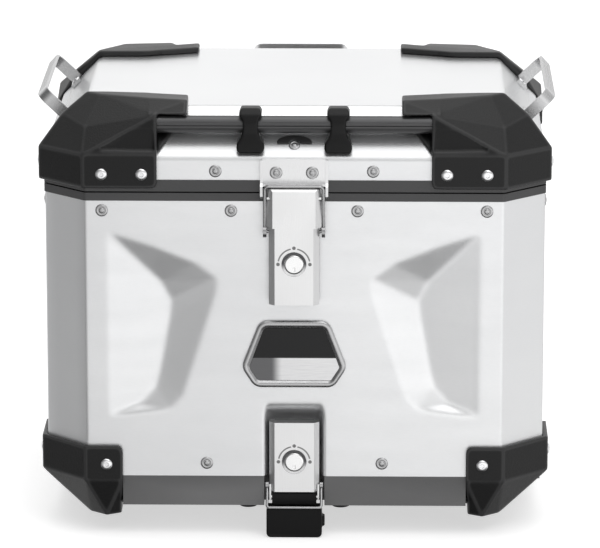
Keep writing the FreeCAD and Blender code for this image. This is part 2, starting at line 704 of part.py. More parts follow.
# ------------------------------------------------------------ front rail
BRACKET_PROFILE = [    # (back, up) of the outer surface
    (2.2, 39.5), (-1.2, 42.5), (0.4, 50), (2.6, 58), (3.2, 66),
    (5.6, 73.5), (11, 78.6), (23, 78.6), (33, 71.5), (35.5, 69.6),
]
BRACKET_HALF = [       # (x, up) of the left half of the front view
    (-6, 80), (-8.5, 77.5), (-10, 74), (-9.6, 72.5), (-7, 69.5), (-6.3, 61),
    (-8.5, 54), (-11.5, 49.5), (-12, 45), (-10, 41), (-6, 38),
]


def front_rail():
    """Round bar with a groove along its front."""
    face = RAIL_BACK - RAIL_R
    groove = box(-140, 140, face - 1, face + 2.4, RAIL_UP - 0.4, RAIL_UP + 2.4)
    return rod_x(-128, 128, RAIL, RAIL_R).cut(groove)


def rail_bracket():
    """Bracket on the centre plane, hollowed by the lid and the rail."""
    front_view = BRACKET_HALF + [(-x, up) for x, up in reversed(BRACKET_HALF)]
    bracket = sweep_x(BRACKET_PROFILE, -14, 14).common(sweep_y(front_view, -10, 60))
    bracket = bracket.cut(lid_form(GAP, 0.0))
    bracket = bracket.cut([rod_x(-20, 20, RAIL, RAIL_R + 0.05)])
    screw_start = on_front(0, BRACKET_SCREW_BACK) - FRONT_NORMAL * 8
    bracket = bracket.cut([rod(screw_start, FRONT_NORMAL, 2.05, 8 + 4.8)])
    return largest(bracket)


def bracket_screw(point, out):
    """Screw from inside the lid."""
    return fuse([
        rod(point - out * 3.4, out, 2.0, 8.0),
        rod(point - out * (SHEET + 0.05), -out, 4.2, 2.4),
    ])


def rail_buffer():
    """Half-round pad on the lid slope below the middle of the rail."""
    angles = [math.pi * i / 12 for i in range(13)]
    outline = [(15.0 * math.cos(a), 11.4 + 5.6 * math.sin(a)) for a in angles]
    pad = polygon_face([on_front(x, back) + FRONT_NORMAL * GAP for x, back in outline])
    pad = pad.extrude(FRONT_NORMAL * 2.2)
    point, out = BUFFER_SPOT
    return largest(pad.cut(rod(point - out * 5, out, 5.6, 20)))


save("front_rail", front_rail())
bracket_middle = rail_bracket()
for side_name, x in zip(("left", "right"), BRACKET_XS):
    bracket = bracket_middle.copy()
    bracket.translate(Vector(x, 0, 0))
    save("rail_bracket_" + side_name, bracket)
save("rail_bracket_screws", *[bracket_screw(point, out) for point, out in BRACKET_SPOTS])
save("rail_buffer", rail_buffer())

# ------------------------------------------------------------ grab loops (flat strip)
STRIP_WIDE, STRIP_THICK, STRIP_BEND, STRIP_FOOT = 10.5, 3.0, 10.0, 22.0


def arc_points(centre, radius, start, end):
    angles = [start + (end - start) * i / 8 for i in range(9)]
    return [(centre[0] + radius * math.cos(a), centre[1] + radius * math.sin(a)) for a in angles]


def grab_loop(origin, along, down, out, half, height, spots):
    """Strip with two feet turned inwards on the slope, two legs and a grip."""
    bend_x, bend_up, quarter = half - STRIP_BEND, height - STRIP_BEND, math.pi / 2
    inner_r, inner_half, foot = STRIP_BEND - STRIP_THICK, half - STRIP_THICK, half - STRIP_FOOT
    outline = [(-half, 0.0)]
    outline += arc_points((-bend_x, bend_up), STRIP_BEND, math.pi, quarter)
    outline += arc_points((bend_x, bend_up), STRIP_BEND, quarter, 0)
    outline += [(half, 0.0), (foot, 0.0), (foot, STRIP_THICK), (inner_half, STRIP_THICK)]
    outline += arc_points((bend_x, bend_up), inner_r, 0, quarter)
    outline += arc_points((-bend_x, bend_up), inner_r, quarter, math.pi)
    outline += [(-inner_half, STRIP_THICK), (-foot, STRIP_THICK), (-foot, 0.0)]
    edge = origin - down * (STRIP_WIDE / 2)
    strip = polygon_face([edge + along * u + out * (GAP + v) for u, v in outline])
    return strip.extrude(down * STRIP_WIDE).cut(loop_holes(spots))


for side, side_name in ((-1, "left"), (1, "right")):
    save("side_loop_" + side_name, grab_loop(
        on_side(side, 176.0, SIDE_LOOP_UP), BACK, to_side(side, SIDE_FALL),
        to_side(side, SIDE_NORMAL), 81.0, 31.0, SIDE_LOOP_SPOTS[side]))
save("rear_loop", grab_loop(
    REAR_LOOP_CENTRE, RIGHT, REAR_FALL, REAR_NORMAL, 46.0, 26.0, REAR_LOOP_SPOTS))
save("loop_rivets", *rivets(raised(LOOP_SPOTS, 3.1), 4.7, LEAF_HEAD))

# ------------------------------------------------------------ rear hinges
LEAF_HALF = 35
LEAF_IN, LEAF_OVER_RIM, LEAF_OUT = DEPTH + GAP, DEPTH + RIM_PROUD + GAP, DEPTH + 2.9
BODY_KNUCKLES = [(-35, -23.2), (-11.6, 11.6), (23.2, 35)]       # x spans from the middle
LID_KNUCKLES = [(-23.0, -11.8), (11.8, 23.0)]
BODY_LEAF = [    # (back, up)
    (LEAF_IN, -34), (LEAF_IN, -0.2), (LEAF_OVER_RIM, -0.2),
    (LEAF_OVER_RIM, 6.6), (LEAF_OUT, 6.6), (LEAF_OUT, -34),
]
LID_LEAF = [
    (LEAF_IN, 35.5), (LEAF_IN, 18.5), (LEAF_OVER_RIM, 18.5),
    (LEAF_OVER_RIM, 9.0), (LEAF_OUT, 9.0), (LEAF_OUT, 35.5),
]


def hinge_leaf(x, profile, knuckles, web, others, relief, spots):
    """Leaf with knuckles, each on a web, and relief round the other leaf's knuckles.

    web and relief are (low, high) levels.
    """
    pieces = [sweep_x(profile, x - LEAF_HALF, x + LEAF_HALF)]
    pieces += [rod_x(x + left, x + right, HINGE, 4.4) for left, right in knuckles]
    for left, right in knuckles:
        pieces.append(box(x + left, x + right, DEPTH + 1.2, HINGE[0] - 1, *web))
    leaf = fuse(pieces).cut([
        box(x + left - 0.1, x + right + 0.1, DEPTH + 1.5, HINGE[0] + 8, *relief)
        for left, right in others
    ])
    bore = rod_x(x - 40, x + 40, HINGE, HINGE_PIN_R + 0.05)
    return largest(leaf.cut([bore] + holes(spots, 8.0)))


def hinge_pin(x):
    return fuse([
        rod_x(x - 35.6, x + 35.6, HINGE, HINGE_PIN_R),
        rod_x(x - 36.6, x - 35.2, HINGE, 3.4),
        rod_x(x + 35.2, x + 36.6, HINGE, 3.4),
    ])


for side_name, x in zip(("left", "right"), HINGE_XS):
    save("hinge_%s_body_leaf" % side_name, hinge_leaf(
        x, BODY_LEAF, BODY_KNUCKLES, (3.4, 6.4), LID_KNUCKLES, (1.8, 14), HINGE_BODY_SPOTS))
    save("hinge_%s_lid_leaf" % side_name, hinge_leaf(
        x, LID_LEAF, LID_KNUCKLES, (9.2, 11.9), BODY_KNUCKLES, (1, 13.2), HINGE_LID_SPOTS))
    save("hinge_%s_pin" % side_name, hinge_pin(x))

# ------------------------------------------------------------ keeper on the lid
KEEPER_HALF, KEEPER_INNER = 29, 26.7


def cheeks(profile, inner):
    """(back, up) profile swept along X at both ends of the keeper."""
    spans = ((-KEEPER_HALF, -inner), (inner, KEEPER_HALF))
    return [sweep_x(profile, left, right) for left, right in spans]


def keeper():
    plate = sweep_x([
        (-0.1, 37.0), (-3.0, 37.0), (-3.0, 16.6), (-9.7, 16.6),
        (-9.7, 14.8), (-1.0, 14.8), (-1.0, 18.5), (-0.1, 18.5),
    ], -KEEPER_HALF, KEEPER_HALF)
    body = fuse([plate] + cheeks([
        (-1.0, 18.4), (-3.0, 18.4), (-8.0, 14.0), (-8.0, 5.5), (-6.5, 3.6), (-1.0, 3.6),
    ], KEEPER_INNER))
    body = body.cut([box(-KEEPER_INNER, KEEPER_INNER, -12, -3.05, 0, 14.75)])
    # The ends of the shelf are cut away and closed again with sloping corners
    body = body.cut([
        box(left, right, -12, -3.05, 14.0, 18) for left, right in ((-30, -26.4), (26.4, 30))])
    body = fuse([body] + cheeks([
        (-1.0, 18.4), (-3.0, 18.4), (-8.0, 14.0), (-8.0, 13.0), (-1.0, 13.0),
    ], KEEPER_INNER))
    # Raised edge strips down both sides of the plate
    body = fuse([body] + cheeks([
        (-2.0, 37.0), (-4.2, 36.4), (-5.0, 35.0), (-5.0, 17.0), (-4.0, 15.0), (-2.0, 15.0),
    ], 26.9))
    return largest(body.cut(holes(KEEPER_SPOTS, 9.0)))


save("keeper", keeper())


# ------------------------------------------------------------ shared latch parts
def lever_body(half, face, back, bevel, outer_span, inner_span):
    """Channel open to the rear with bevelled front edges; spans are (low, high) levels."""
    wall = 1.5
    inset = wall * 0.414
    outer = [
        (-half, back), (-half, face + bevel), (-half + bevel, face),
        (half - bevel, face), (half, face + bevel), (half, back),
    ]
    side, turn = half - wall, half - bevel - inset
    inner = [
        (-side, back + 1), (-side, face + bevel + inset), (-turn, face + wall),
        (turn, face + wall), (side, face + bevel + inset), (side, back + 1),
    ]
    return sweep_z(outer, *outer_span).cut(sweep_z(inner, *inner_span))


def pivot_bores(pivot, bail):
    return [
        rod_x(-30, 30, pivot, PIVOT_BORE_R),
        rod_x(-30, -18, bail, 1.35), rod_x(18, 30, bail, 1.35),
    ]


def lock_bore(up, length):
    return rod(place(0, -30, up), BACK, 6.6, length)


def latch_ear(pivot, foot_back, low, high, left, right):
    """Plate that tapers from its foot to a rounded end at the pivot."""
    ends, radius = (left, right), 2.2
    stations = [(x, foot_back, up) for x in ends for up in (low, high)]
    for x in ends:
        for i in range(12):
            angle = math.pi * i / 6
            stations.append((
                x, pivot[0] + radius * math.cos(angle), pivot[1] + radius * math.sin(angle)))
    return hull_at(stations)


def bail(pivot, tip, half, bar, wire_r, bend, boss_span, boss_r):
    """Wire frame with its ends turned in at the pivot and a boss round each end."""
    inner, outer = boss_span
    frame = wire([
        place(-tip, *pivot), place(-half, *pivot), place(-half, *bar),
        place(half, *bar), place(half, *pivot), place(tip, *pivot),
    ], wire_r, bend)
    bosses = [rod_x(-outer, -inner, pivot, boss_r), rod_x(inner, outer, pivot, boss_r)]
    return fuse([frame] + bosses)


def lock_cylinder(up, face):
    cap = fuse([
        rod(place(0, face - 0.1, up), FRONT, 8.1, 1.4),
        Part.makeCone(8.1, 7.1, 0.6, place(0, face - 1.5, up), FRONT),
    ])
    slot = box(-0.9, 0.9, face - 3, face - 1.2, up - 5.6, up - 2.6)
    barrel = rod(place(0, face - 0.2, up), BACK, 6.5, 6.2)
    cam = box(-3.5, 3.5, face + 6.0, face + 7.9, up - 5.0, up + 14.2)
    return fuse([cap, barrel, cam]).cut(slot)


def lock_bezel(up, face):
    disc = rod(place(0, face - 0.05, up), FRONT, 10.6, 1.0)
    return disc.cut(rod(place(0, face + 1, up), FRONT, 8.3, 6))


# ------------------------------------------------------------ upper latch
def upper_lever():
    head = lever_body(23.3, UPPER_FACE, -3.0, 5.0, (-21, 13), (-22, 11.5))
    handle = lever_body(21.5, UPPER_FACE, -3.0, 5.0, (-88, -19), (-86.5, -18))
    lever = fuse([head, handle])
    # Shoulders that close the step between the two widths
    lever = fuse([
        lever, box(-23.3, -20.0, -9.6, -3.0, -21, -19.5), box(20.0, 23.3, -9.6, -3.0, -21, -19.5)])
    rear_slope = [(-2.0, -10), (-3.0, -10), (-8.0, 13), (-8.0, 14), (-2, 14)]
    lever = lever.cut([sweep_x(rear_slope, -30, 30)])
    top_bevel = [(-15, 10.5), (-15, 14), (-12.0, 14)]
    lever = lever.cut([sweep_x(top_bevel, -30, 30)])
    lever = lever.cut(pivot_bores(UPPER_PIVOT, UPPER_BAIL))
    return largest(lever.cut([lock_bore(UPPER_LOCK, 40)]))


def upper_base():
    base = fuse([
        box(-15, 15, -2.1, -0.1, -84, -0.4),
        latch_ear(UPPER_PIVOT, -2.0, -26, -0.4, -15, -13),
        latch_ear(UPPER_PIVOT, -2.0, -26, -0.4, 13, 15),
        # Hook on the left edge, level with the key cylinder
        box(-18, -15, -2.1, -0.1, -58, -46),
        box(-18, -16, -10.5, -0.1, -57, -47),
        box(-18, -12.5, -10.5, -8.9, -57, -47),
    ])
    pin_bore = rod_x(-30, 30, UPPER_PIVOT, PIVOT_BORE_R)
    return largest(base.cut([pin_bore] + holes(UPPER_BASE_SPOTS, 9)))


save("upper_latch_lever", upper_lever())
save("upper_latch_pin", rod_x(-23.3, 23.3, UPPER_PIVOT, PIVOT_R))
save("upper_latch_base", upper_base())
save("upper_latch_bail", bail(UPPER_BAIL, 19.0, 25, (-12, 15), 1.3, 3.5, (23.55, 26.45), 5.0))
save("upper_lock_cylinder", lock_cylinder(UPPER_LOCK, UPPER_FACE))
save("upper_lock_bezel", lock_bezel(UPPER_LOCK, UPPER_FACE))

# ------------------------------------------------------------ lower latch
LOWER_BAR = (-12.6, -268.2)           # (back, up) of the bail's cross bar
LOWER_BAIL_HALF = 23.4
CLAW_HALF, CLAW_BOTTOM = 24, -295.5


def lower_lever():
    body = lever_body(21.5, LOWER_FACE, 8.0, 4.5, (-256.6, -194.8), (-257.6, -196.3))
    arm = [(-2.2, -250), (8.0, -250), (8.0, -256), (3.0, -264.4), (-2.2, -264.4)]
    lever = fuse([body, sweep_x(arm, -21.5, -20.0), sweep_x(arm, 20.0, 21.5)])
    lever = lever.cut(pivot_bores(LOWER_PIVOT, LOWER_BAIL) + [lock_bore(LOWER_LOCK, 60)])
    return largest(lever)


def lower_base():
    base = fuse([
        box(-17, 17, 12.0, 13.9, -250, -196),
        latch_ear(LOWER_PIVOT, 12.2, -264, -246, -16.4, -14.4),
        latch_ear(LOWER_PIVOT, 12.2, -264, -246, 14.4, 16.4),
        box(-16.4, 16.4, 12.0, 13.9, -264, -249),
        # Front cover strip below the lever, on two short arms
        box(-19.2, 19.2, -3.3, -2.0, -267.8, -258.1),
        box(-16.4, -14.4, -3.0, 0.0, -264.2, -259.8),
        box(14.4, 16.4, -3.0, 0.0, -264.2, -259.8),
        # Hook on the left edge, level with the key cylinder
        box(-17.6, -16.2, 0.1, 13.9, -234.2, -224.7),
        box(-17.6, -12.6, 0.1, 1.5, -234.2, -224.7),
    ])
    pin_bore = rod_x(-30, 30, LOWER_PIVOT, PIVOT_BORE_R)
    return largest(base.cut([pin_bore] + holes(LOWER_BASE_SPOTS, 9)))


def is_claw_bottom_side(edge):
    """True for the edges along Y at the bottom of the claw's left and right ends."""
    if len(edge.Vertexes) != 2:
        return False
    start, end = edge.Vertexes
    bottom = EDGE_Z + CLAW_BOTTOM
    return (
        abs(abs(start.X) - CLAW_HALF) < 1e-3 and abs(start.X - end.X) < 1e-3
        and abs(start.Z - bottom) < 1e-3 and abs(end.Z - bottom) < 1e-3)


def lower_claw():
    profile = [
        (-11.2, -269.9), (9.0, -269.9), (9.0, -279.0), (5.0, -281.5), (5.0, -287.5),
        (16.0, -288.5), (16.0, CLAW_BOTTOM), (-11.2, CLAW_BOTTOM),
    ]
    claw = fuse([
        sweep_x(profile, -CLAW_HALF, CLAW_HALF),
        box(CLAW_HALF - 0.1, 26.4, -6.5, 2.5, -286.4, -277.4),
    ])
    # Guards against the kernel refusing the fillet; the edges then stay sharp
    try:
        claw = claw.makeFillet(4.0, [edge for edge in claw.Edges if is_claw_bottom_side(edge)])
    except Exception:
        pass
    half = LOWER_BAIL_HALF
    bail_groove = wire([
        place(-half, 0.0, -266.0), place(-half, *LOWER_BAR),
        place(half, *LOWER_BAR), place(half, 0.0, -266.0),
    ], 1.3)
    return largest(claw.cut([bail_groove]))


save("lower_latch_lever", lower_lever())
save("lower_latch_pin", rod_x(-21.5, 21.5, LOWER_PIVOT, PIVOT_R))
save("lower_latch_base", lower_base())
save("lower_latch_bail", bail(
    LOWER_BAIL, 18.6, LOWER_BAIL_HALF, LOWER_BAR, 1.2, 2.2, (22.05, 24.75), 3.6))
save("lower_latch_claw", lower_claw())
save("lower_lock_cylinder", lock_cylinder(LOWER_LOCK, LOWER_FACE))
save("lower_lock_bezel", lock_bezel(LOWER_LOCK, LOWER_FACE))


# ------------------------------------------------------------ badge
def hexagon_plate(corners, front, rear):
    """Symmetrical hexagon from three (half width, up) corners, swept along Y."""
    outline = [(-half, up) for half, up in corners]
    outline += [(half, up) for half, up in reversed(corners)]
    return sweep_y(outline, front, rear)


frame_outer = hexagon_plate([(29.5, -104.5), (45.5, -145.5), (34.0, -163.5)], -4.0, -0.1)
frame_opening = hexagon_plate([(26.0, -111.0), (39.0, -146.0), (31.6, -157.5)], -8.0, 3.0)
save("badge_frame", frame_outer.cut(frame_opening))
save("badge_plate", hexagon_plate(
    [(25.9, -111.1), (38.9, -146.0), (31.5, -157.4)], -2.0, -0.1))

# ------------------------------------------------------------ rivets, screws and straps
save("body_rivets", *rivets(RIM_SPOTS + PAN_SPOTS, 3.5, SHEET_HEAD))
save("lid_rivets",
     *rivets(LID_SPOTS, 3.5, SHEET_HEAD), *rivets([BUFFER_SPOT], 1.6, BUFFER_HEAD))
save("lid_guard_screws", *rivets(LID_GUARD_SPOTS, GUARD + 3.9, GUARD_HEAD))
save("bottom_guard_screws", *rivets(BOTTOM_GUARD_SPOTS, GUARD + 3.9, GUARD_HEAD))
save("hinge_rivets_body", *rivets(HINGE_BODY_SPOTS, 4.5, LEAF_HEAD))
save("hinge_rivets_lid", *rivets(HINGE_LID_SPOTS, 6.4, LEAF_HEAD))
save("latch_rivets",
     *rivets(UPPER_BASE_SPOTS, 3.7, LATCH_HEAD), *rivets(LOWER_BASE_SPOTS, 3.6, LATCH_HEAD))
save("keeper_rivets", *rivets(KEEPER_SPOTS, 6.5, KEEPER_HEAD))

STRAP_PROFILE = [    # (distance from the centre plane, up)
    (210.8, -9.0), (210.8, -20.0), (203.0, -34.0), (197.0, -34.0), (197.0, -12.0), (201.0, -9.0)]
for side, side_name in ((-1, "left"), (1, "right")):
    outline = [(side * x, up) for x, up in STRAP_PROFILE]
    save("lid_strap_" + side_name, sweep_y(outline, 262.0, 282.0))
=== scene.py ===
"""A sheet-aluminium case with a hinged lid, eight-sided in plan, on a carrier tongue.

It stands on the floor with its front facing -Y, its right side at +X and the lid up at +Z.
Lengths are millimetres at stations: x from the middle to the right, y behind the shell's
front face and z above the shell's top edge. Shader coordinates are metres in the scene.
"""
import math
from functools import cached_property

import bmesh
import bpy
import numpy as np
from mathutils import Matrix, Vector


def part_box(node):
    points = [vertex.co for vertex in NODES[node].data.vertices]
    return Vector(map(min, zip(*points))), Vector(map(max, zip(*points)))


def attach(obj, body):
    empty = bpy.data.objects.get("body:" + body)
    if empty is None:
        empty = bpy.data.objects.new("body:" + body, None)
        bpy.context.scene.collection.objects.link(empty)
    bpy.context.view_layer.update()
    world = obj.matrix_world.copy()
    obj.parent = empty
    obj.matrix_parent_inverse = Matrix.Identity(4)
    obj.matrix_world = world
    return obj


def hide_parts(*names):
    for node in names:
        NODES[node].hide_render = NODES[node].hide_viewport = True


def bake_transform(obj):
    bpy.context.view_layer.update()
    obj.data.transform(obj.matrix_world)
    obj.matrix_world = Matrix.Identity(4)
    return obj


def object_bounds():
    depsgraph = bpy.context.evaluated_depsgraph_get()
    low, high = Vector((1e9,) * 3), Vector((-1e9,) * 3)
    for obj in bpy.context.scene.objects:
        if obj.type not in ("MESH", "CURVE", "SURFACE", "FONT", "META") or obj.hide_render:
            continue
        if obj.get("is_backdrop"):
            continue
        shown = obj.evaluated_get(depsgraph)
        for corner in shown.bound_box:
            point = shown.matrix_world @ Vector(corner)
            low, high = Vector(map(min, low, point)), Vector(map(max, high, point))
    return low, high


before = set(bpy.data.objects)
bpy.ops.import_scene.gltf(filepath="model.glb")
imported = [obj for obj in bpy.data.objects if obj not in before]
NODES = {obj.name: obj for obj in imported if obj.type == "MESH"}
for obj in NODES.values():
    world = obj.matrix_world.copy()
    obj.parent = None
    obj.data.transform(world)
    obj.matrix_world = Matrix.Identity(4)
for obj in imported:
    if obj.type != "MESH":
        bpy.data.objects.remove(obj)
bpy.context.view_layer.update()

scene = bpy.context.scene

# ---------------------------------------------------------------- driving dimensions
SHELL_LOW, SHELL_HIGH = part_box("body_shell")
LID_LOW, LID_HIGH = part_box("lid_shell")
EDGE_Z = SHELL_HIGH.z * 1000.0                # scene height of the shell's top edge
FACE_Y = SHELL_LOW.y * 1000.0                 # scene place of the shell's front face
WIDTH = (SHELL_HIGH.x - SHELL_LOW.x) * 1000.0
DEPTH = (SHELL_HIGH.y - SHELL_LOW.y) * 1000.0
SHELL_BOTTOM = SHELL_LOW.z * 1000.0 - EDGE_Z
LID_BOTTOM = LID_LOW.z * 1000.0 - EDGE_Z
LID_TOP = LID_HIGH.z * 1000.0 - EDGE_Z
LID_BEND = 37.2                               # where the lid's walls start to lean inwards
CORNER = 36.4                                 # cut off each corner, along both walls
TOP_HALF_WIDTH, TOP_HALF_DEPTH, TOP_CORNER = 179.8, 133.6, 34.0
SHEET = 1.5                                   # sheet thickness
UPPER_LOCK_Z, LOWER_LOCK_Z = -52.0, -229.5
BADGE_SPLIT_Z = -137.5                        # black above, silver below


def scene_z(z):
    """Scene height in metres of a station height."""
    return (EDGE_Z + z) / 1000.0


def place(x, y, z):
    """Scene point in metres of a station."""
    return Vector((x / 1000.0, (FACE_Y + y) / 1000.0, scene_z(z)))


# ================================================================ shader graphs
class Graph:
    """A cleared shader tree, with short ways to add nodes to it."""

    def __init__(self, tree, coordinates="Object"):
        self.tree = tree
        self.coordinates = coordinates
        tree.nodes.clear()

    def put(self, socket, value):
        if isinstance(value, bpy.types.NodeSocket):
            self.tree.links.new(value, socket)
        elif isinstance(value, (tuple, list)) and len(value) == 3 and socket.type == "RGBA":
            socket.default_value = (*value, 1.0)
        else:
            socket.default_value = value

    def node(self, kind, inputs=None, **settings):
        node = self.tree.nodes.new(kind)
        for key, value in settings.items():
            setattr(node, key, value)
        for key, value in (inputs or {}).items():
            self.put(node.inputs[key], value)
        return node

    @cached_property
    def point(self):
        return self.node("ShaderNodeTexCoord").outputs[self.coordinates]

    @cached_property
    def axes(self):
        return self.node("ShaderNodeSeparateXYZ", {0: self.point}).outputs

    @property
    def x(self):
        return self.axes[0]

    @property
    def y(self):
        return self.axes[1]

    @property
    def z(self):
        return self.axes[2]

    def math(self, operation, first, second=0.0):
        return self.node("ShaderNodeMath", {0: first, 1: second}, operation=operation).outputs[0]

    def add(self, first, second):
        return self.math("ADD", first, second)

    def sub(self, first, second):
        return self.math("SUBTRACT", first, second)

    def mul(self, first, second):
        return self.math("MULTIPLY", first, second)

    def ramp(self, value, over=(0.3, 0.7), to=(0.0, 1.0), smooth=False):
        """Map the range `over` to the range `to`, clamped. The default suits a noise."""
        kind = "SMOOTHSTEP" if smooth else "LINEAR"
        inputs = dict(enumerate((value, *over, *to)))
        return self.node("ShaderNodeMapRange", inputs, clamp=True,
                         interpolation_type=kind).outputs[0]

    def curve(self, value, stops):
        """Eased curve through (position, value) stops."""
        low, high = stops[0][0], stops[-1][0]
        share = self.ramp(value, over=(low, high))
        node = self.node("ShaderNodeValToRGB", {0: share})
        node.color_ramp.interpolation = "EASE"
        elements = node.color_ramp.elements
        while len(elements) > 1:
            elements.remove(elements[-1])
        for index, (position, level) in enumerate(stops):
            at = (position - low) / (high - low)
            element = elements[0] if index == 0 else elements.new(at)
            element.position = at
            element.color = (level, level, level, 1.0)
        return node.outputs[0]


class Look(Graph):
    """A Principled material, filed in LOOKS under its name once finished."""

    def __init__(self, name):
        self.name = name
        self.material = bpy.data.materials.new(name)
        self.material.use_nodes = True
        super().__init__(self.material.node_tree)
        output = self.node("ShaderNodeOutputMaterial")
        self.shader = self.node("ShaderNodeBsdfPrincipled")
        self.put(output.inputs[0], self.shader.outputs[0])

    def finish(self, **inputs):
        for key, value in inputs.items():
            self.put(self.shader.inputs[key.replace("_", " ")], value)
        LOOKS[self.name] = self.material

    @cached_property
    def pointiness(self):
        return self.node("ShaderNodeNewGeometry").outputs["Pointiness"]

    def facing_front(self):
        """How far the surface faces -Y."""
        normal = self.node("ShaderNodeTexCoord").outputs["Normal"]
        return self.mul(self.node("ShaderNodeSeparateXYZ", {0: normal}).outputs[1], -1.0)

    def noise(self, scale=1.0, detail=2.0, rough=0.5, distortion=0.0, stretch=None):
        vector = self.point
        if stretch:
            vector = self.node("ShaderNodeMapping", {0: vector, "Scale": stretch}).outputs[0]
        return self.node("ShaderNodeTexNoise", {
            "Vector": vector, "Scale": scale, "Detail": detail,
            "Roughness": rough, "Distortion": distortion}).outputs[0]

    def brush_lines(self, axis):
        """Fine lines running along one axis."""
        stretch = tuple(40 if name == axis else 2600 for name in "xyz")
        return self.noise(detail=3.0, rough=0.65, stretch=stretch)

    def wave(self, value, frequency):
        return self.math("SINE", self.mul(value, frequency))

    def mix(self, factor, start, end):
        inputs = {0: factor, 6: start, 7: end}
        return self.node("ShaderNodeMix", inputs, data_type="RGBA").outputs[2]

    def bump(self, height, strength, distance):
        return self.node("ShaderNodeBump", {
            "Strength": strength, "Distance": distance, "Height": height}).outputs[0]


LOOKS = {}
LINES = (0.25, 0.75)                          # the part of the brush lines that shows


def shaded(colour, factor):
    return tuple(value * factor for value in colour)


# ================================================================ materials
def sheet_metal():
    """Aluminium with grain and blasting that fade out at the lid's bend."""
    look = Look("aluminium_sheet")
    cloud = look.noise(scale=6.0, detail=3.0, rough=0.55)
    smear = look.noise(detail=4.0, rough=0.6, stretch=(14, 14, 90))
    grain = look.noise(rough=0.7, stretch=(260, 260, 3200))
    blast = look.noise(scale=2300.0, rough=0.6)

    def up_to_bend(amount):
        return look.ramp(look.z, over=(scene_z(36.0), scene_z(38.0)), to=(amount, 0.0))

    colour = look.mix(look.ramp(cloud), start=(0.80, 0.805, 0.815), end=(0.845, 0.85, 0.855))
    streaks = look.mul(look.ramp(grain, over=LINES, to=(0.0, 0.16)), up_to_bend(1.0))
    colour = look.mix(streaks, start=colour, end=(0.70, 0.705, 0.71))
    uneven = look.add(look.ramp(smear, to=(-0.03, 0.03)), look.ramp(grain, to=(-0.03, 0.05)))
    base_rough = 0.37
    rough = look.add(look.mul(uneven, up_to_bend(1.0)), base_rough)
    smoother_top = look.ramp(look.z, over=(scene_z(43.0), scene_z(47.0)), to=(0.0, 0.10))
    grain_height = look.mul(grain, up_to_bend(0.5))
    height = look.add(look.mul(blast, up_to_bend(0.35)), grain_height)
    look.finish(Base_Color=colour, Metallic=0.86, Roughness=look.sub(rough, smoother_top),
                Normal=look.bump(height, strength=0.07, distance=0.0004))


def powder(name, dark, light, rough, grain, strength, metal=0.0, specular=0.5, painted_ridge_highlight=None):
    """Powder coat: with an edge colour given, its edges get a painted highlight and its concave
    places painted shade; or else its edges are a little worn.
    """
    look = Look(name)
    patches = look.noise(scale=9.0, detail=3.0)
    fine = look.noise(scale=grain, rough=0.6)
    cells = look.node("ShaderNodeTexVoronoi", {"Vector": look.point, "Scale": grain * 0.55},
                      feature="F1").outputs["Distance"]
    colour = look.mix(look.ramp(patches), start=dark, end=light)
    if painted_ridge_highlight:
        # Painted highlight along the edges, and painted shade in the concave places.
        edges = look.ramp(look.pointiness, over=(0.5005, 0.509), smooth=True)
        painted_hollow_shade = look.ramp(look.pointiness, over=(0.480, 0.498), to=(0.8, 0.0), smooth=True)
        colour = look.mix(edges, start=colour, end=painted_ridge_highlight)
        colour = look.mix(painted_hollow_shade, start=colour, end=(0.0012, 0.0012, 0.0013))
    else:
        wear = look.ramp(look.pointiness, over=(0.53, 0.60), to=(0.0, 0.35))
        gain, lift = 2.4, 0.006               # how much paler the worn edges are
        worn = tuple(min(1.0, value * gain + lift) for value in light)
        colour = look.mix(wear, start=colour, end=worn)
    roughness = look.add(look.ramp(patches, to=(rough - 0.05, rough + 0.05)),
                         look.ramp(fine, to=(-0.04, 0.04)))
    cell_height = 0.6
    height = look.add(fine, look.mul(cells, cell_height))
    look.finish(Base_Color=colour, Metallic=metal, Roughness=roughness,
                Specular_IOR_Level=specular,
                Normal=look.bump(height, strength=strength, distance=0.0004))


def brushed(name, base, rough, axis, metal=1.0, strength=0.12, dark=0.75):
    """Metal brushed along one axis, its lines darkened by `dark`."""
    look = Look(name)
    lines = look.brush_lines(axis)
    cloud = look.noise(scale=25.0)
    colour = look.mix(look.ramp(lines, over=LINES), start=shaded(base, dark), end=base)
    tarnish = look.ramp(cloud, over=(0.35, 0.75), to=(0, 0.25))
    colour = look.mix(tarnish, start=colour, end=shaded(base, 0.85))
    roughness = look.add(look.ramp(lines, over=LINES, to=(rough - 0.06, rough + 0.08)),
                         look.ramp(cloud, to=(-0.03, 0.03)))
    look.finish(Base_Color=colour, Metallic=metal, Roughness=roughness,
                Normal=look.bump(lines, strength=strength, distance=0.0003))


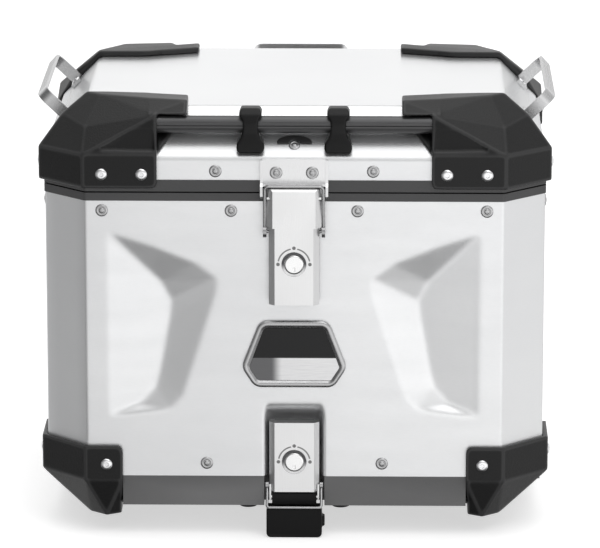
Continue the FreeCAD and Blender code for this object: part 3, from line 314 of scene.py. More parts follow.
def lever(name, lock_z):
    """Satin stainless with a printed arc and three marks round the key cylinder, and painted shade
    on the sides that turn from the front.
    """
    look = Look(name)
    lines = look.brush_lines("z")
    cloud = look.noise(scale=25.0)
    steel = look.mix(look.ramp(lines, over=LINES), start=(0.79, 0.79, 0.79), end=(0.84, 0.84, 0.845))
    lock_x = 0.0
    across = look.sub(look.x, lock_x)
    above = look.sub(look.z, scene_z(lock_z))

    def apart(value, other):
        return look.math("ABSOLUTE", look.sub(value, other))

    # The arc: a thin circle, only above the cylinder, in two stretches 45 degrees off upright.
    arc_radius, half_line, soft = 0.0136, 0.00042, 0.00035
    stretch_middle = 0.785
    radius = look.math("SQRT", look.add(look.mul(across, across), look.mul(above, above)))
    circle = look.ramp(apart(radius, arc_radius), over=(half_line, half_line + soft), to=(1.0, 0.0))
    arc = look.mul(circle, look.ramp(above, over=(0.0008, 0.0012)))
    angle = look.math("ABSOLUTE", look.math("ARCTAN2", across, above))
    stretches = look.ramp(apart(angle, stretch_middle), over=(0.56, 0.60), to=(1.0, 0.0))
    arc = look.mul(arc, stretches)

    def dot(x, z):
        squares = [look.math("POWER", apart(value, centre), 2.0)
                   for value, centre in ((across, x), (above, z))]
        distance = look.math("SQRT", look.add(*squares))
        return look.ramp(distance, over=(0.0014, 0.0017), to=(1.0, 0.0))

    top_dot_z = 0.0142
    side_dots = look.math("MAXIMUM", dot(-arc_radius, 0.0), dot(arc_radius, 0.0))
    marks = look.math("MAXIMUM", dot(0.0, top_dot_z), side_dots)
    front = look.ramp(look.facing_front(), over=(0.9, 0.95))
    ink = look.mul(look.math("MAXIMUM", arc, marks), front)
    ink_cover, ink_dulls, edge_shade = 0.85, 0.9, 0.6
    colour = look.mix(look.mul(ink, ink_cover), start=steel, end=(0.05, 0.05, 0.05))
    # Painted shade: the sides turned from the front are darkened.
    painted_side_shade = look.ramp(look.facing_front(), over=(0.15, 0.85), to=(1.0, 0.0))
    colour = look.mix(look.mul(painted_side_shade, edge_shade), start=colour, end=(0.30, 0.30, 0.305))
    rough = look.add(look.ramp(lines, over=LINES, to=(0.27, 0.40)),
                     look.ramp(cloud, to=(-0.03, 0.03)))
    look.finish(Base_Color=colour, Metallic=look.sub(1.0, look.mul(ink, ink_dulls)),
                Roughness=rough, Normal=look.bump(lines, strength=0.10, distance=0.0003))


def polish_noises(look):
    """Soft clouding, and fine ripples for the bump."""
    return (look.noise(scale=140.0, detail=3.0, rough=0.6),
            look.noise(scale=900.0, distortion=0.5))


def polished(name, base, rough):
    look = Look(name)
    cloud, fine = polish_noises(look)
    look.finish(Base_Color=look.mix(look.ramp(cloud), start=shaded(base, 0.93), end=base),
                Metallic=1.0, Roughness=look.ramp(cloud, to=(rough * 0.7, rough * 1.4)),
                Normal=look.bump(fine, strength=0.03, distance=0.0002))


def lock_ring_painted_shadow(name, lock_z):
    """Ring round a key cylinder, darkened by a painted shadow in its upper part and bright below."""
    look = Look(name)
    cloud, fine = polish_noises(look)
    middle = scene_z(lock_z)
    # Painted shadow: the upper part of the ring is dark.
    upper = look.ramp(look.z, over=(middle - 0.0065, middle + 0.0015), smooth=True)
    colour = look.mix(upper, start=(0.72, 0.72, 0.725), end=(0.075, 0.075, 0.078))
    colour = look.mix(look.ramp(cloud, to=(0, 0.3)), start=colour, end=(0.16, 0.16, 0.165))
    look.finish(Base_Color=colour, Metallic=1.0, Roughness=look.ramp(cloud, to=(0.18, 0.30)),
                Normal=look.bump(fine, strength=0.03, distance=0.0002))


def rubber():
    look = Look("rubber")
    fine = look.noise(scale=1900.0, detail=3.0, rough=0.65)
    patches = look.noise(scale=18.0, detail=3.0)
    colour = look.mix(look.ramp(patches), start=(0.012, 0.012, 0.013), end=(0.028, 0.028, 0.029))
    look.finish(Base_Color=colour, Roughness=look.ramp(fine, to=(0.68, 0.86)),
                Specular_IOR_Level=0.35,
                Normal=look.bump(fine, strength=0.35, distance=0.0004))


def floor_mat():
    """Rubber mat with two sets of diagonal ribs."""
    look = Look("floor_mat_rubber")
    rib_frequency, rib_height, fine_height = 900.0, 0.6, 0.3
    rising = look.wave(look.add(look.x, look.y), rib_frequency)
    falling = look.wave(look.sub(look.x, look.y), rib_frequency)
    fine = look.noise(scale=1500.0, rough=0.6)
    height = look.add(look.mul(look.math("MAXIMUM", rising, falling), rib_height),
                      look.mul(fine, fine_height))
    colour = look.mix(look.ramp(height, over=(-0.4, 0.8)),
                      start=(0.010, 0.010, 0.010), end=(0.032, 0.032, 0.033))
    look.finish(Base_Color=colour, Roughness=0.8,
                Normal=look.bump(height, strength=0.5, distance=0.0008))


def badge():
    """Woven black above the split; silver below, darkening towards the left."""
    look = Look("badge_two_tone")
    lines = look.noise(detail=3.0, rough=0.6, stretch=(60, 2600, 2600))
    silver = look.mix(look.ramp(lines, over=LINES), start=(0.62, 0.62, 0.63), end=(0.80, 0.80, 0.80))
    left = look.ramp(look.x, over=(-0.020, -0.010), to=(1.0, 0.0), smooth=True)
    left_shade = 0.93
    silver = look.mix(look.mul(left, left_shade), start=silver, end=(0.085, 0.085, 0.088))
    split = scene_z(BADGE_SPLIT_Z)
    top = look.ramp(look.z, over=(split - 0.0002, split + 0.0002))
    weave_frequency = 3600.0
    weave = look.mul(look.wave(look.add(look.x, look.z), weave_frequency),
                     look.wave(look.sub(look.x, look.z), weave_frequency))
    black = look.mix(look.ramp(weave, over=(-0.2, 0.6)),
                     start=(0.0022, 0.0022, 0.0025), end=(0.0075, 0.0075, 0.0080))
    look.finish(Base_Color=look.mix(top, start=silver, end=black),
                Metallic=look.ramp(top, over=(0.0, 1.0), to=(0.9, 0.0)),
                Roughness=look.ramp(top, over=(0.0, 1.0), to=(0.30, 0.22)),
                Coat_Weight=0.12, Coat_Roughness=0.12, Specular_IOR_Level=0.25,
                Normal=look.bump(lines, strength=0.05, distance=0.0002))


def webbing():
    look = Look("webbing")
    warp_y, weft_z, weft_y = 4200.0, 3000.0, 2100.0    # weave frequencies along each axis
    warp = look.wave(look.y, warp_y)
    weft = look.math("SINE", look.add(look.mul(look.z, weft_z), look.mul(look.y, weft_y)))
    weave = look.mul(warp, weft)
    fuzz = look.noise(scale=400.0, detail=3.0, rough=0.7)
    colour = look.mix(look.ramp(weave, over=(-0.6, 0.8)),
                      start=(0.010, 0.010, 0.011), end=(0.05, 0.05, 0.052))
    colour = look.mix(look.ramp(fuzz, over=(0.45, 0.7), to=(0, 0.4)),
                      start=colour, end=(0.07, 0.07, 0.072))
    look.finish(Base_Color=colour, Roughness=0.82, Sheen_Weight=0.35,
                Normal=look.bump(weave, strength=0.6, distance=0.0006))


sheet_metal()
powder("grey_profile", dark=(0.038, 0.038, 0.039), light=(0.052, 0.052, 0.053),
       rough=0.42, grain=1300.0, strength=0.12, metal=0.15)
powder("grey_pan", dark=(0.080, 0.080, 0.081), light=(0.100, 0.100, 0.101),
       rough=0.45, grain=1300.0, strength=0.14, metal=0.2)
# The guards' light edge colour is a painted highlight on their edges; their concave places get
# painted shade.
powder("black_guard", dark=(0.0030, 0.0030, 0.0032), light=(0.0052, 0.0052, 0.0055),
       rough=0.38, grain=1100.0, strength=0.30, specular=0.30, painted_ridge_highlight=(0.026, 0.026, 0.0265))
powder("black_bracket", dark=(0.0035, 0.0035, 0.0037), light=(0.0060, 0.0060, 0.0062),
       rough=0.38, grain=1300.0, strength=0.25, specular=0.24)
powder("black_steel", dark=(0.0022, 0.0022, 0.0024), light=(0.0045, 0.0045, 0.0047),
       rough=0.34, grain=1700.0, strength=0.12, specular=0.14)
brushed("grey_rail", base=(0.108, 0.108, 0.110), rough=0.34, axis="x",
        metal=0.75, strength=0.15, dark=0.7)
brushed("stainless_z", base=(0.80, 0.80, 0.805), rough=0.32, axis="z", strength=0.05, dark=0.93)
# Painted shade: a darker copy of the brushed stainless, for the upper latch's base.
brushed("stainless_painted_shade", base=(0.34, 0.34, 0.345), rough=0.34, axis="z",
        strength=0.05, dark=0.88)
# Painted shade: the latch bails get a darkened steel, standing in for the shade on their legs and
# ears.
brushed("wire_painted_shade", base=(0.44, 0.44, 0.445), rough=0.26, axis="z", strength=0.04, dark=0.85)
lock_ring_painted_shadow("ring_upper", UPPER_LOCK_Z)
lock_ring_painted_shadow("ring_lower", LOWER_LOCK_Z)
brushed("stainless_x", base=(0.76, 0.76, 0.765), rough=0.28, axis="x")
brushed("stainless_y", base=(0.70, 0.70, 0.705), rough=0.26, axis="y")
polished("bright_steel", base=(0.90, 0.90, 0.90), rough=0.16)
polished("rivet_steel", base=(0.50, 0.50, 0.505), rough=0.26)
polished("screw_steel", base=(0.86, 0.86, 0.87), rough=0.18)
rubber()
floor_mat()
polished("badge_chrome", base=(0.50, 0.50, 0.505), rough=0.28)
badge()
webbing()
lever("lever_upper", UPPER_LOCK_Z)
lever("lever_lower", LOWER_LOCK_Z)


# ================================================================ modifiers
def smooth_group():
    """Node group that shades smooth every edge flatter than its Angle input."""
    group = bpy.data.node_groups.new("smooth_by_angle", "GeometryNodeTree")
    sockets = group.interface
    sockets.new_socket("Geometry", in_out="INPUT", socket_type="NodeSocketGeometry")
    angle = sockets.new_socket("Angle", in_out="INPUT", socket_type="NodeSocketFloat")
    sockets.new_socket("Geometry", in_out="OUTPUT", socket_type="NodeSocketGeometry")
    source = group.nodes.new("NodeGroupInput")
    result = group.nodes.new("NodeGroupOutput")
    faces = group.nodes.new("GeometryNodeSetShadeSmooth")
    faces.domain = "FACE"
    faces.inputs["Shade Smooth"].default_value = True
    edges = group.nodes.new("GeometryNodeSetShadeSmooth")
    edges.domain = "EDGE"
    edge_angle = group.nodes.new("GeometryNodeInputMeshEdgeAngle")
    compare = group.nodes.new("FunctionNodeCompare")
    compare.data_type = "FLOAT"
    compare.operation = "LESS_THAN"
    link = group.links.new
    link(edge_angle.outputs[0], compare.inputs[0])
    link(source.outputs["Angle"], compare.inputs[1])
    link(source.outputs["Geometry"], faces.inputs["Geometry"])
    link(faces.outputs[0], edges.inputs["Geometry"])
    link(compare.outputs[0], edges.inputs["Shade Smooth"])
    link(edges.outputs[0], result.inputs[0])
    return group, angle.identifier


SMOOTH_GROUP, ANGLE_ID = smooth_group()


def modify(part, name, kind, **settings):
    modifier = part.modifiers.new(name, kind)
    for key, value in settings.items():
        setattr(modifier, key, value)
    return modifier


def shade(part, degrees=38.0, weighted=True):
    smooth = modify(part, "smooth", "NODES", node_group=SMOOTH_GROUP)
    smooth[ANGLE_ID] = math.radians(degrees)
    if weighted:
        modify(part, "weighted", "WEIGHTED_NORMAL", keep_sharp=True, weight=80)


# ================================================================ CAD parts kept
def dress(name, look):
    """Give a CAD part its look and close its seams."""
    part = NODES[name]
    part.data.materials.clear()
    part.data.materials.append(LOOKS[look])
    modify(part, "weld", "WELD", merge_threshold=0.00001)
    return part


def moulded(name, look, voxel, rounds):
    """Moulded part: a fine even remesh and smoothing rounds roll every edge over."""
    part = dress(name, look)
    modify(part, "even", "REMESH", mode="VOXEL", voxel_size=voxel / 1000.0,
           adaptivity=0.0, use_smooth_shade=True)
    modify(part, "round", "SMOOTH", factor=0.5, iterations=rounds)
    shade(part, degrees=70.0, weighted=False)


def bevelled(name, look, width, segments, angle=26.0):
    """Hard part with small bevels; a width of 0 leaves its mesh as it is."""
    part = dress(name, look)
    if width:
        modify(part, "planar", "DECIMATE", decimate_type="DISSOLVE", angle_limit=math.radians(0.6))
        modify(part, "bevel", "BEVEL", width=width / 1000.0, segments=segments,
               limit_method="ANGLE", angle_limit=math.radians(angle), use_clamp_overlap=True)
    shade(part)


for level, rounds in (("lid", 14), ("bottom", 12)):
    for end in ("front", "rear"):
        for side in ("left", "right"):
            moulded(f"{level}_guard_{end}_{side}", "black_guard", voxel=1.0, rounds=rounds)
for side in ("left", "right"):
    moulded(f"rail_bracket_{side}", "black_bracket", voxel=0.8, rounds=16)

# look, bevel width, bevel segments, parts
BEVELLED = [
    ("grey_pan", 0.5, 2, ["base_pan"]),
    ("floor_mat_rubber", 0.6, 2, ["floor_mat"]),
    ("black_steel", 0.6, 2, ["carrier_tongue"]),
    ("bright_steel", 0.4, 2, ["tongue_bolts", "hinge_left_pin", "hinge_right_pin"]),
    ("rubber", 0.8, 3, ["rubber_pads"]),
    ("grey_profile", 0.45, 2, ["body_rim", "lid_rim"]),
    ("rubber", 0.5, 2, ["lid_seal"]),
    ("grey_rail", 0.5, 2, ["front_rail"]),
    ("bright_steel", 0.3, 2, ["rail_bracket_screws"]),
    ("rubber", 0.7, 3, ["rail_buffer"]),
    ("stainless_y", 0.5, 2, ["side_loop_left", "side_loop_right"]),
    ("stainless_x", 0.5, 2, ["rear_loop"]),
    ("stainless_x", 0.35, 2, ["hinge_left_body_leaf", "hinge_left_lid_leaf",
                              "hinge_right_body_leaf", "hinge_right_lid_leaf"]),
    ("stainless_z", 0.4, 2, ["keeper"]),
    ("lever_upper", 0.5, 3, ["upper_latch_lever"]),
    ("lever_lower", 0.5, 3, ["lower_latch_lever"]),
    # painted shade: the upper latch's base gets the darkened copy of the stainless
    ("stainless_painted_shade", 0.3, 2, ["upper_latch_base"]),
    ("bright_steel", 0.25, 2, ["upper_latch_pin", "lower_latch_pin",
                               "upper_lock_cylinder", "lower_lock_cylinder"]),
    # painted shade: the bails get a darkened steel in place of their shade
    ("wire_painted_shade", 0.0, 0, ["upper_latch_bail", "lower_latch_bail"]),
    ("ring_upper", 0.3, 2, ["upper_lock_bezel"]),
    ("ring_lower", 0.3, 2, ["lower_lock_bezel"]),
    ("black_steel", 0.3, 2, ["lower_latch_base"]),
    ("badge_two_tone", 0.3, 2, ["badge_plate"]),
]
for look, width, segments, names in BEVELLED:
    for name in names:
        bevelled(name, look, width, segments)
bevelled("lower_latch_claw", "black_steel", width=1.2, segments=3, angle=40.0)


# ================================================================ mesh helpers
def link_mesh(name, bm):
    mesh = bpy.data.meshes.new(name)
    bm.to_mesh(mesh)
    bm.free()
    part = bpy.data.objects.new(name, mesh)
    scene.collection.objects.link(part)
    return part


def build(name, bm, look, body, node, smooth=38.0, weighted=True, sheet=False):
    """Add a part in place of a CAD node; a sheet is thickened from its outer face inwards."""
    if not sheet:
        bmesh.ops.recalc_face_normals(bm, faces=bm.faces)
    part = link_mesh(name, bm)
    part.data.materials.append(LOOKS[look])
    if sheet:
        modify(part, "sheet", "SOLIDIFY", thickness=SHEET / 1000.0, offset=-1.0,
               use_even_offset=True, use_rim=True)
    shade(part, smooth, weighted)
    if body:
        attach(part, body)
    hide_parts(node)
    return part


def bridge(bm, first, second):
    """Join two closed rings of vertices with quads."""
    for i in range(len(first)):
        j = (i + 1) % len(first)
        bm.faces.new((first[i], first[j], second[j], second[i]))


def face_outwards(bm, face, middle):
    """Turn the whole mesh over if this face looks towards the middle."""
    if face.normal.dot(face.calc_center_median() - middle) < 0:
        bmesh.ops.reverse_faces(bm, faces=bm.faces)


def turn(start, end, segments):
    """Unit vectors from one direction round to another, the short way."""
    first, last = math.atan2(start.y, start.x), math.atan2(end.y, end.x)
    while last - first > math.pi:
        last -= 2 * math.pi
    while last - first < -math.pi:
        last += 2 * math.pi
    angles = [first + (last - first) * i / segments for i in range(segments + 1)]
    return [Vector((math.cos(angle), math.sin(angle))) for angle in angles]


def octagon(x, y, cut):
    """Plan outline from half width, half depth and corner cut, from the front left corner."""
    corners = [(-x, -y + cut), (-x + cut, -y), (x - cut, -y), (x, -y + cut),
               (x, y - cut), (x - cut, y), (-x + cut, y), (-x, y - cut)]
    return [(corner_x, corner_y + DEPTH / 2) for corner_x, corner_y in corners]


# ================================================================ stamped shapes in the walls
# Depths pushed into a wall are held on a 1 mm grid: along the wall by z.
GRID_U = np.arange(-190, 191, 1.0)
GRID_Z = np.arange(-250, 6, 1.0)
ALONG, UP = np.meshgrid(GRID_U, GRID_Z, indexing="ij")

# Left pocket of the front wall, (x, z): its outline on the wall and the edge of its floor.
POCKET_OUTLINE = [(-158, -28), (-123, -39), (-84, -54.5), (-66, -68), (-67, -80),
                  (-81, -124.5), (-96.5, -173), (-106, -183), (-133, -186.5), (-158, -189.5)]
POCKET_FLOOR = [(-158, -36), (-132, -57), (-115, -72.5), (-106, -90), (-107, -103),
                (-116, -152), (-119.5, -165.5), (-133, -180.5), (-157, -189)]
POCKET_SHALLOW, POCKET_DEEP = 0.4, 12.0       # floor depth at its outer and inner ends
POCKET_OUTER_X, POCKET_RUN = -158.0, 52.0


def upper_planes(points):
    """Planes (a, b, c), depth = a u + b z + c, on the deep side of the points' hull."""
    bm = bmesh.new()
    for point in points:
        bm.verts.new(point)
    bmesh.ops.convex_hull(bm, input=bm.verts)
    bmesh.ops.recalc_face_normals(bm, faces=bm.faces)
    planes = []
    for face in bm.faces:
        normal = face.normal
        if normal.z > 0.05:
            corner = face.verts[0].co
            level = (normal.x * corner.x + normal.y * corner.y) / normal.z + corner.z
            planes.append((-normal.x / normal.z, -normal.y / normal.z, level))
    bm.free()
    return planes


def blur(grid, sigma):
    """Gaussian blur, in grid steps."""
    reach = int(sigma * 3) + 1
    kernel = np.exp(-0.5 * (np.arange(-reach, reach + 1) / sigma) ** 2)
    kernel /= kernel.sum()
    for axis in (0, 1):
        margins = [(reach, reach) if i == axis else (0, 0) for i in range(2)]
        padded = np.pad(grid, margins, mode="edge")
        grid = np.apply_along_axis(lambda row: np.convolve(row, kernel, "valid"), axis, padded)
    return grid


def hull_depth(points, sigma, cap=None):
    """Depth grid of the convex body through (u, z, depth) points, softened by a blur."""
    depth = np.full(ALONG.shape, 1e9)
    for a, b, c in upper_planes(points):
        depth = np.minimum(depth, a * ALONG + b * UP + c)
    if cap is not None:
        depth = np.minimum(depth, cap)
    return blur(np.maximum(depth, 0.0), sigma)


def front_depth():
    """Two mirrored pockets and the recess behind the lower latch, open at the bottom."""
    points = [(x, z, depth) for depth in (-6.0, 0.0) for x, z in POCKET_OUTLINE]
    slope = POCKET_DEEP - POCKET_SHALLOW
    points += [(x, z, POCKET_SHALLOW + slope * (x - POCKET_OUTER_X) / POCKET_RUN)
               for x, z in POCKET_FLOOR]
    pocket = hull_depth(points, sigma=1.7)
    recess_top, recess_run, recess_depth = -178.5, 16.0, 14.0
    half_width, side_run = 24.0, 1.4
    ramp = np.clip((recess_top - UP) / recess_run, 0.0, 1.0)
    sides = np.clip((half_width - np.abs(ALONG)) / side_run, 0.0, 1.0)
    recess = recess_depth * ramp * ramp * (3.0 - 2.0 * ramp) * sides
    return pocket + pocket[::-1, :] + blur(recess, sigma=1.4)


def panel_depth(flat, half, low=-196.0, high=-60.0, cut=34.0, depth=4.0):
    """Shallow eight-sided panel; `flat` is half the length of its top and bottom edges."""
    def ring(grow):
        return [(-half - grow, low + cut), (-half - grow, high - cut),
                (-flat, high + grow), (flat, high + grow),
                (half + grow, high - cut), (half + grow, low + cut),
                (flat, low - grow), (-flat, low - grow)]

    rings = ((0, -3.0), (0, 0.0), (-10.0, depth))      # growth, depth
    points = [(u, z, level) for grow, level in rings for u, z in ring(grow)]
    return hull_depth(points, sigma=2.6, cap=depth)


SIDE_DEPTH = panel_depth(flat=70.0, half=105.0)
WALL_DEPTH = {"front": front_depth(), "left": SIDE_DEPTH, "right": SIDE_DEPTH,
              "back": panel_depth(flat=95.0, half=130.0)}


def sample(grid, u, z):
    """Bilinear depth at a place on the wall."""
    i = np.clip((u - GRID_U[0]), 0, len(GRID_U) - 1.001)
    j = np.clip((z - GRID_Z[0]), 0, len(GRID_Z) - 1.001)
    i0, j0 = int(i), int(j)
    di, dj = i - i0, j - j0
    return (grid[i0, j0] * (1 - di) * (1 - dj) + grid[i0 + 1, j0] * di * (1 - dj)
            + grid[i0, j0 + 1] * (1 - di) * dj + grid[i0 + 1, j0 + 1] * di * dj)


# ================================================================ shell sheet
WALLS = ["chamfer", "front", "chamfer", "right", "chamfer", "back", "chamfer", "left"]
BEND_RADIUS, BEND_SEGMENTS = 4.0, 5
FRONT_STEP, CHAMFER_STEP, WALL_STEP = 2.0, 12.0, 6.0
# Closer columns at the recess's sides, distance from the middle.
RECESS_COLUMNS = (21.6, 22.2, 22.8, 23.4, 24.0, 24.7, 25.6, 27.0)


def inward(start, direction):
    """Normal of a wall towards the middle of the plan."""
    normal = Vector((-direction.y, direction.x))
    return -normal if normal.dot(Vector((0, DEPTH / 2)) - start) < 0 else normal


def wall_points(wall, start, end):
    if wall == "front":
        even = np.linspace(start.x, end.x, int((end.x - start.x) / FRONT_STEP) + 1)
        columns = [round(float(x), 3) for x in even if not 21.0 < abs(x) < 28.0]
        columns += [sign * x for sign in (-1, 1) for x in RECESS_COLUMNS]
        return [Vector((x, 0.0)) for x in sorted(set(columns))]
    step = CHAMFER_STEP if wall == "chamfer" else WALL_STEP
    count = max(2, int((end - start).length / step))
    return [start.lerp(end, i / count) for i in range(count + 1)]


def perimeter():
    """Outside of the shell as (x, y, inward x, inward y, wall, place along the wall)."""
    corners = [Vector(corner) for corner in octagon(WIDTH / 2, DEPTH / 2, CORNER)]
    stations = []
    for i, wall in enumerate(WALLS):
        corner, next_corner = corners[i], corners[(i + 1) % 8]
        direction = (next_corner - corner).normalized()
        next_direction = (corners[(i + 2) % 8] - next_corner).normalized()
        trim = BEND_RADIUS * math.tan(math.radians(22.5))
        start, end = corner + direction * trim, next_corner - direction * trim
        normal = inward(corner, direction)
        for point in wall_points(wall, start, end):
            u = point.x if wall in ("front", "back") else point.y - DEPTH / 2
            stations.append((point.x, point.y, normal.x, normal.y, wall, u))
        centre = end + normal * BEND_RADIUS
        bend = turn(-normal, -inward(next_corner, next_direction), BEND_SEGMENTS)
        for ray in bend[1:-1]:
            stations.append((centre.x + ray.x * BEND_RADIUS, centre.y + ray.y * BEND_RADIUS,
                             -ray.x, -ray.y, "bend", 0.0))
    return stations


def shell_mesh():
    bm = bmesh.new()
    heights = [0.0, -1.2] + list(np.arange(-4.0, SHELL_BOTTOM + 2.0, -2.0))
    heights += [SHELL_BOTTOM + 0.8, SHELL_BOTTOM]
    columns = []
    for x, y, in_x, in_y, wall, u in perimeter():
        column = []
        for z in heights:
            depth = sample(WALL_DEPTH[wall], u, z) if wall in WALL_DEPTH else 0.0
            column.append(bm.verts.new(place(x + in_x * depth, y + in_y * depth, z)))
        columns.append(column)
    for here, there in zip(columns, columns[1:] + columns[:1]):
        for j in range(len(heights) - 1):
            bm.faces.new((here[j], here[j + 1], there[j + 1], there[j]))
    bmesh.ops.recalc_face_normals(bm, faces=bm.faces)
    face_outwards(bm, bm.faces[0], place(0, DEPTH / 2, -120))
    return bm


build("shell_sheet", shell_mesh(), "aluminium_sheet", "body", "body_shell",
      smooth=50.0, weighted=False, sheet=True)


# ================================================================ lid sheet
def lid_mesh():
    """Upright walls to the bend, leaning walls above it and a flat top, edges rounded."""
    bm = bmesh.new()
    wall = octagon(WIDTH / 2, DEPTH / 2, CORNER)
    top = octagon(TOP_HALF_WIDTH, TOP_HALF_DEPTH, TOP_CORNER)
    levels = ((wall, LID_BOTTOM), (wall, LID_BEND), (top, LID_TOP))
    rings = [[bm.verts.new(place(x, y, z)) for x, y in outline] for outline, z in levels]
    for lower, upper in zip(rings, rings[1:]):
        bridge(bm, lower, upper)
    bm.faces.new(rings[-1])
    bmesh.ops.recalc_face_normals(bm, faces=bm.faces)
    edges = [edge for edge in bm.edges if len(edge.link_faces) == 2]
    bmesh.ops.bevel(bm, geom=edges, offset=0.0034, offset_type="OFFSET", segments=5,
                    profile=0.5, affect="EDGES", clamp_overlap=True)
    largest = max(bm.faces, key=lambda face: face.calc_area())
    face_outwards(bm, largest, place(0, DEPTH / 2, 0))
    return bm


build("lid_sheet", lid_mesh(), "aluminium_sheet", "lid", "lid_shell",
      smooth=40.0, sheet=True)


# ================================================================ rivets and screws
# Head profiles, (radius, height above the surface) from the middle outwards.
RIVET_RADIUS, RIVET_SCALE_HEIGHT = 5.4, 1.7
RIVET_HEAD = [(0, 1.25), (0.75, 1.25), (0.85, 1.7), (1.6, 1.62), (2.15, 1.35), (2.45, 0.85),
              (2.85, 0.80), (3.15, 1.12), (3.9, 1.22), (4.7, 1.02), (5.2, 0.62), (5.4, 0.30)]
SCREW_HEAD = [(0, 0.55), (1.55, 0.55), (1.75, 1.9), (2.3, 2.02), (3.3, 1.86), (4.3, 1.42),
              (4.95, 0.85), (5.2, 0.35), (5.2, 0.02)]
SCREW_HEX_RINGS = (1, 2)                      # rings of SCREW_HEAD that form the hex socket


def shank(grip):
    return [(1.9, 0.02), (1.9, -grip - 0.05)]


def rivet(grip, radius=RIVET_RADIUS, height=RIVET_SCALE_HEIGHT, tail=3.1):
    """Rivet profile through `grip` of material, with a tail behind it."""
    wide, tall = radius / RIVET_RADIUS, height / RIVET_SCALE_HEIGHT
    head = [(r * wide, z * tall) for r, z in RIVET_HEAD]
    return head + [(RIVET_RADIUS * wide, 0.02)] + shank(grip) + [
        (tail, -grip - 0.05), (tail, -grip - 0.7), (tail * 0.7, -grip - 1.2), (0, -grip - 1.3)]


def screw(grip):
    return SCREW_HEAD + shank(grip) + [
        (3.2, -grip - 0.05), (3.2, -grip - 1.0), (2.4, -grip - 1.2), (0, -grip - 1.2)]


def lathe(bm, origin, axis, profile, segments, hex_rings):
    """Turn a (radius, height) profile round an axis; `hex_rings` are drawn as hexagons."""
    axis = Vector(axis).normalized()
    across = axis.cross(Vector((0, 0, 1)))
    if across.length < 0.1:
        across = axis.cross(Vector((1, 0, 0)))
    across.normalize()
    other = axis.cross(across)
    rings = []
    for index, (radius, height) in enumerate(profile):
        base = origin + axis * (height / 1000.0)
        if radius <= 1e-6:
            rings.append([bm.verts.new(base)])
            continue
        ring = []
        for i in range(segments):
            angle = 2 * math.pi * i / segments
            reach = radius
            if index in hex_rings:
                reach /= math.cos(((angle + math.pi / 6) % (math.pi / 3)) - math.pi / 6)
            ray = across * math.cos(angle) + other * math.sin(angle)
            ring.append(bm.verts.new(base + ray * (reach / 1000.0)))
        rings.append(ring)
    for first, second in zip(rings, rings[1:]):
        for i in range(segments):
            j = (i + 1) % segments
            if len(first) == 1:
                bm.faces.new((first[0], second[i], second[j]))
            elif len(second) == 1:
                bm.faces.new((first[i], second[0], first[j]))
            else:
                bm.faces.new((first[i], second[i], second[j], first[j]))


def fasteners(name, look, body, node, groups, hex_rings=(), lift=0.0):
    """One part from groups of (seats, profile); a seat is ((x, y, z), direction)."""
    bm = bmesh.new()
    segments = 36 if hex_rings else 28
    for seats, profile in groups:
        for station, axis in seats:
            origin = place(*station) + axis * (lift / 1000.0)
            lathe(bm, origin, axis, profile, segments, hex_rings)
    build(name, bm, look, body, node, smooth=42.0)


FRONT, BACK = Vector((0, -1, 0)), Vector((0, 1, 0))
LEFT, RIGHT = Vector((-1, 0, 0)), Vector((1, 0, 0))
GUARD = 5.0                                   # how far the corner guards stand off the walls
GUARD_GRIP = GUARD + 3.9


def around(z, front, back, sides):
    """Seats on all four walls at one height."""
    seats = [((x, 0, z), FRONT) for x in front] + [((x, DEPTH, z), BACK) for x in back]
    seats += [((-WIDTH / 2, y, z), LEFT) for y in sides]
    return seats + [((WIDTH / 2, y, z), RIGHT) for y in sides]


def guard_seats(z, columns, sides, side_extra=0.0):
    """Seats on the four corner guards of one level."""
    seats = []
    for sign in (-1, 1):
        seats += [((sign * x, -GUARD, z), FRONT) for x in columns]
        seats += [((sign * x, DEPTH + GUARD, z), BACK) for x in columns]
        side_x = sign * (WIDTH / 2 + GUARD + side_extra)
        seats += [((side_x, y, z), Vector((sign, 0, 0))) for y in sides]
    return seats


def hinge_seats(z, spread=22.0):
    return [((x + shift, DEPTH + 2.9, z), BACK) for x in (-72.0, 72.0)
            for shift in (-spread, spread)]


def front_seats(y, places):
    return [((x, y, z), FRONT) for x, z in places]


# The lid's leaning walls: how far each runs in over the rise.
RISE = LID_TOP - LID_BEND
SIDE_RUN, END_RUN = WIDTH / 2 - TOP_HALF_WIDTH, DEPTH / 2 - TOP_HALF_DEPTH
SIDE_NORMAL = Vector((RISE, 0, SIDE_RUN)).normalized()
REAR_NORMAL = Vector((0, RISE, END_RUN)).normalized()
FRONT_NORMAL = Vector((0, -RISE, END_RUN)).normalized()


def loop_seats(side_z=54.2):
    """Seats of the side loops and the rear loop on the leaning walls."""
    side_x = WIDTH / 2 - (side_z - LID_BEND) * SIDE_RUN / RISE
    seats = [((sign * side_x, y, side_z), Vector((sign * SIDE_NORMAL.x, 0, SIDE_NORMAL.z)))
             for sign in (-1, 1) for y in (108.0, 244.0)]
    return seats + [((x, 335.5, 50.3), REAR_NORMAL) for x in (-32.0, 32.0)]


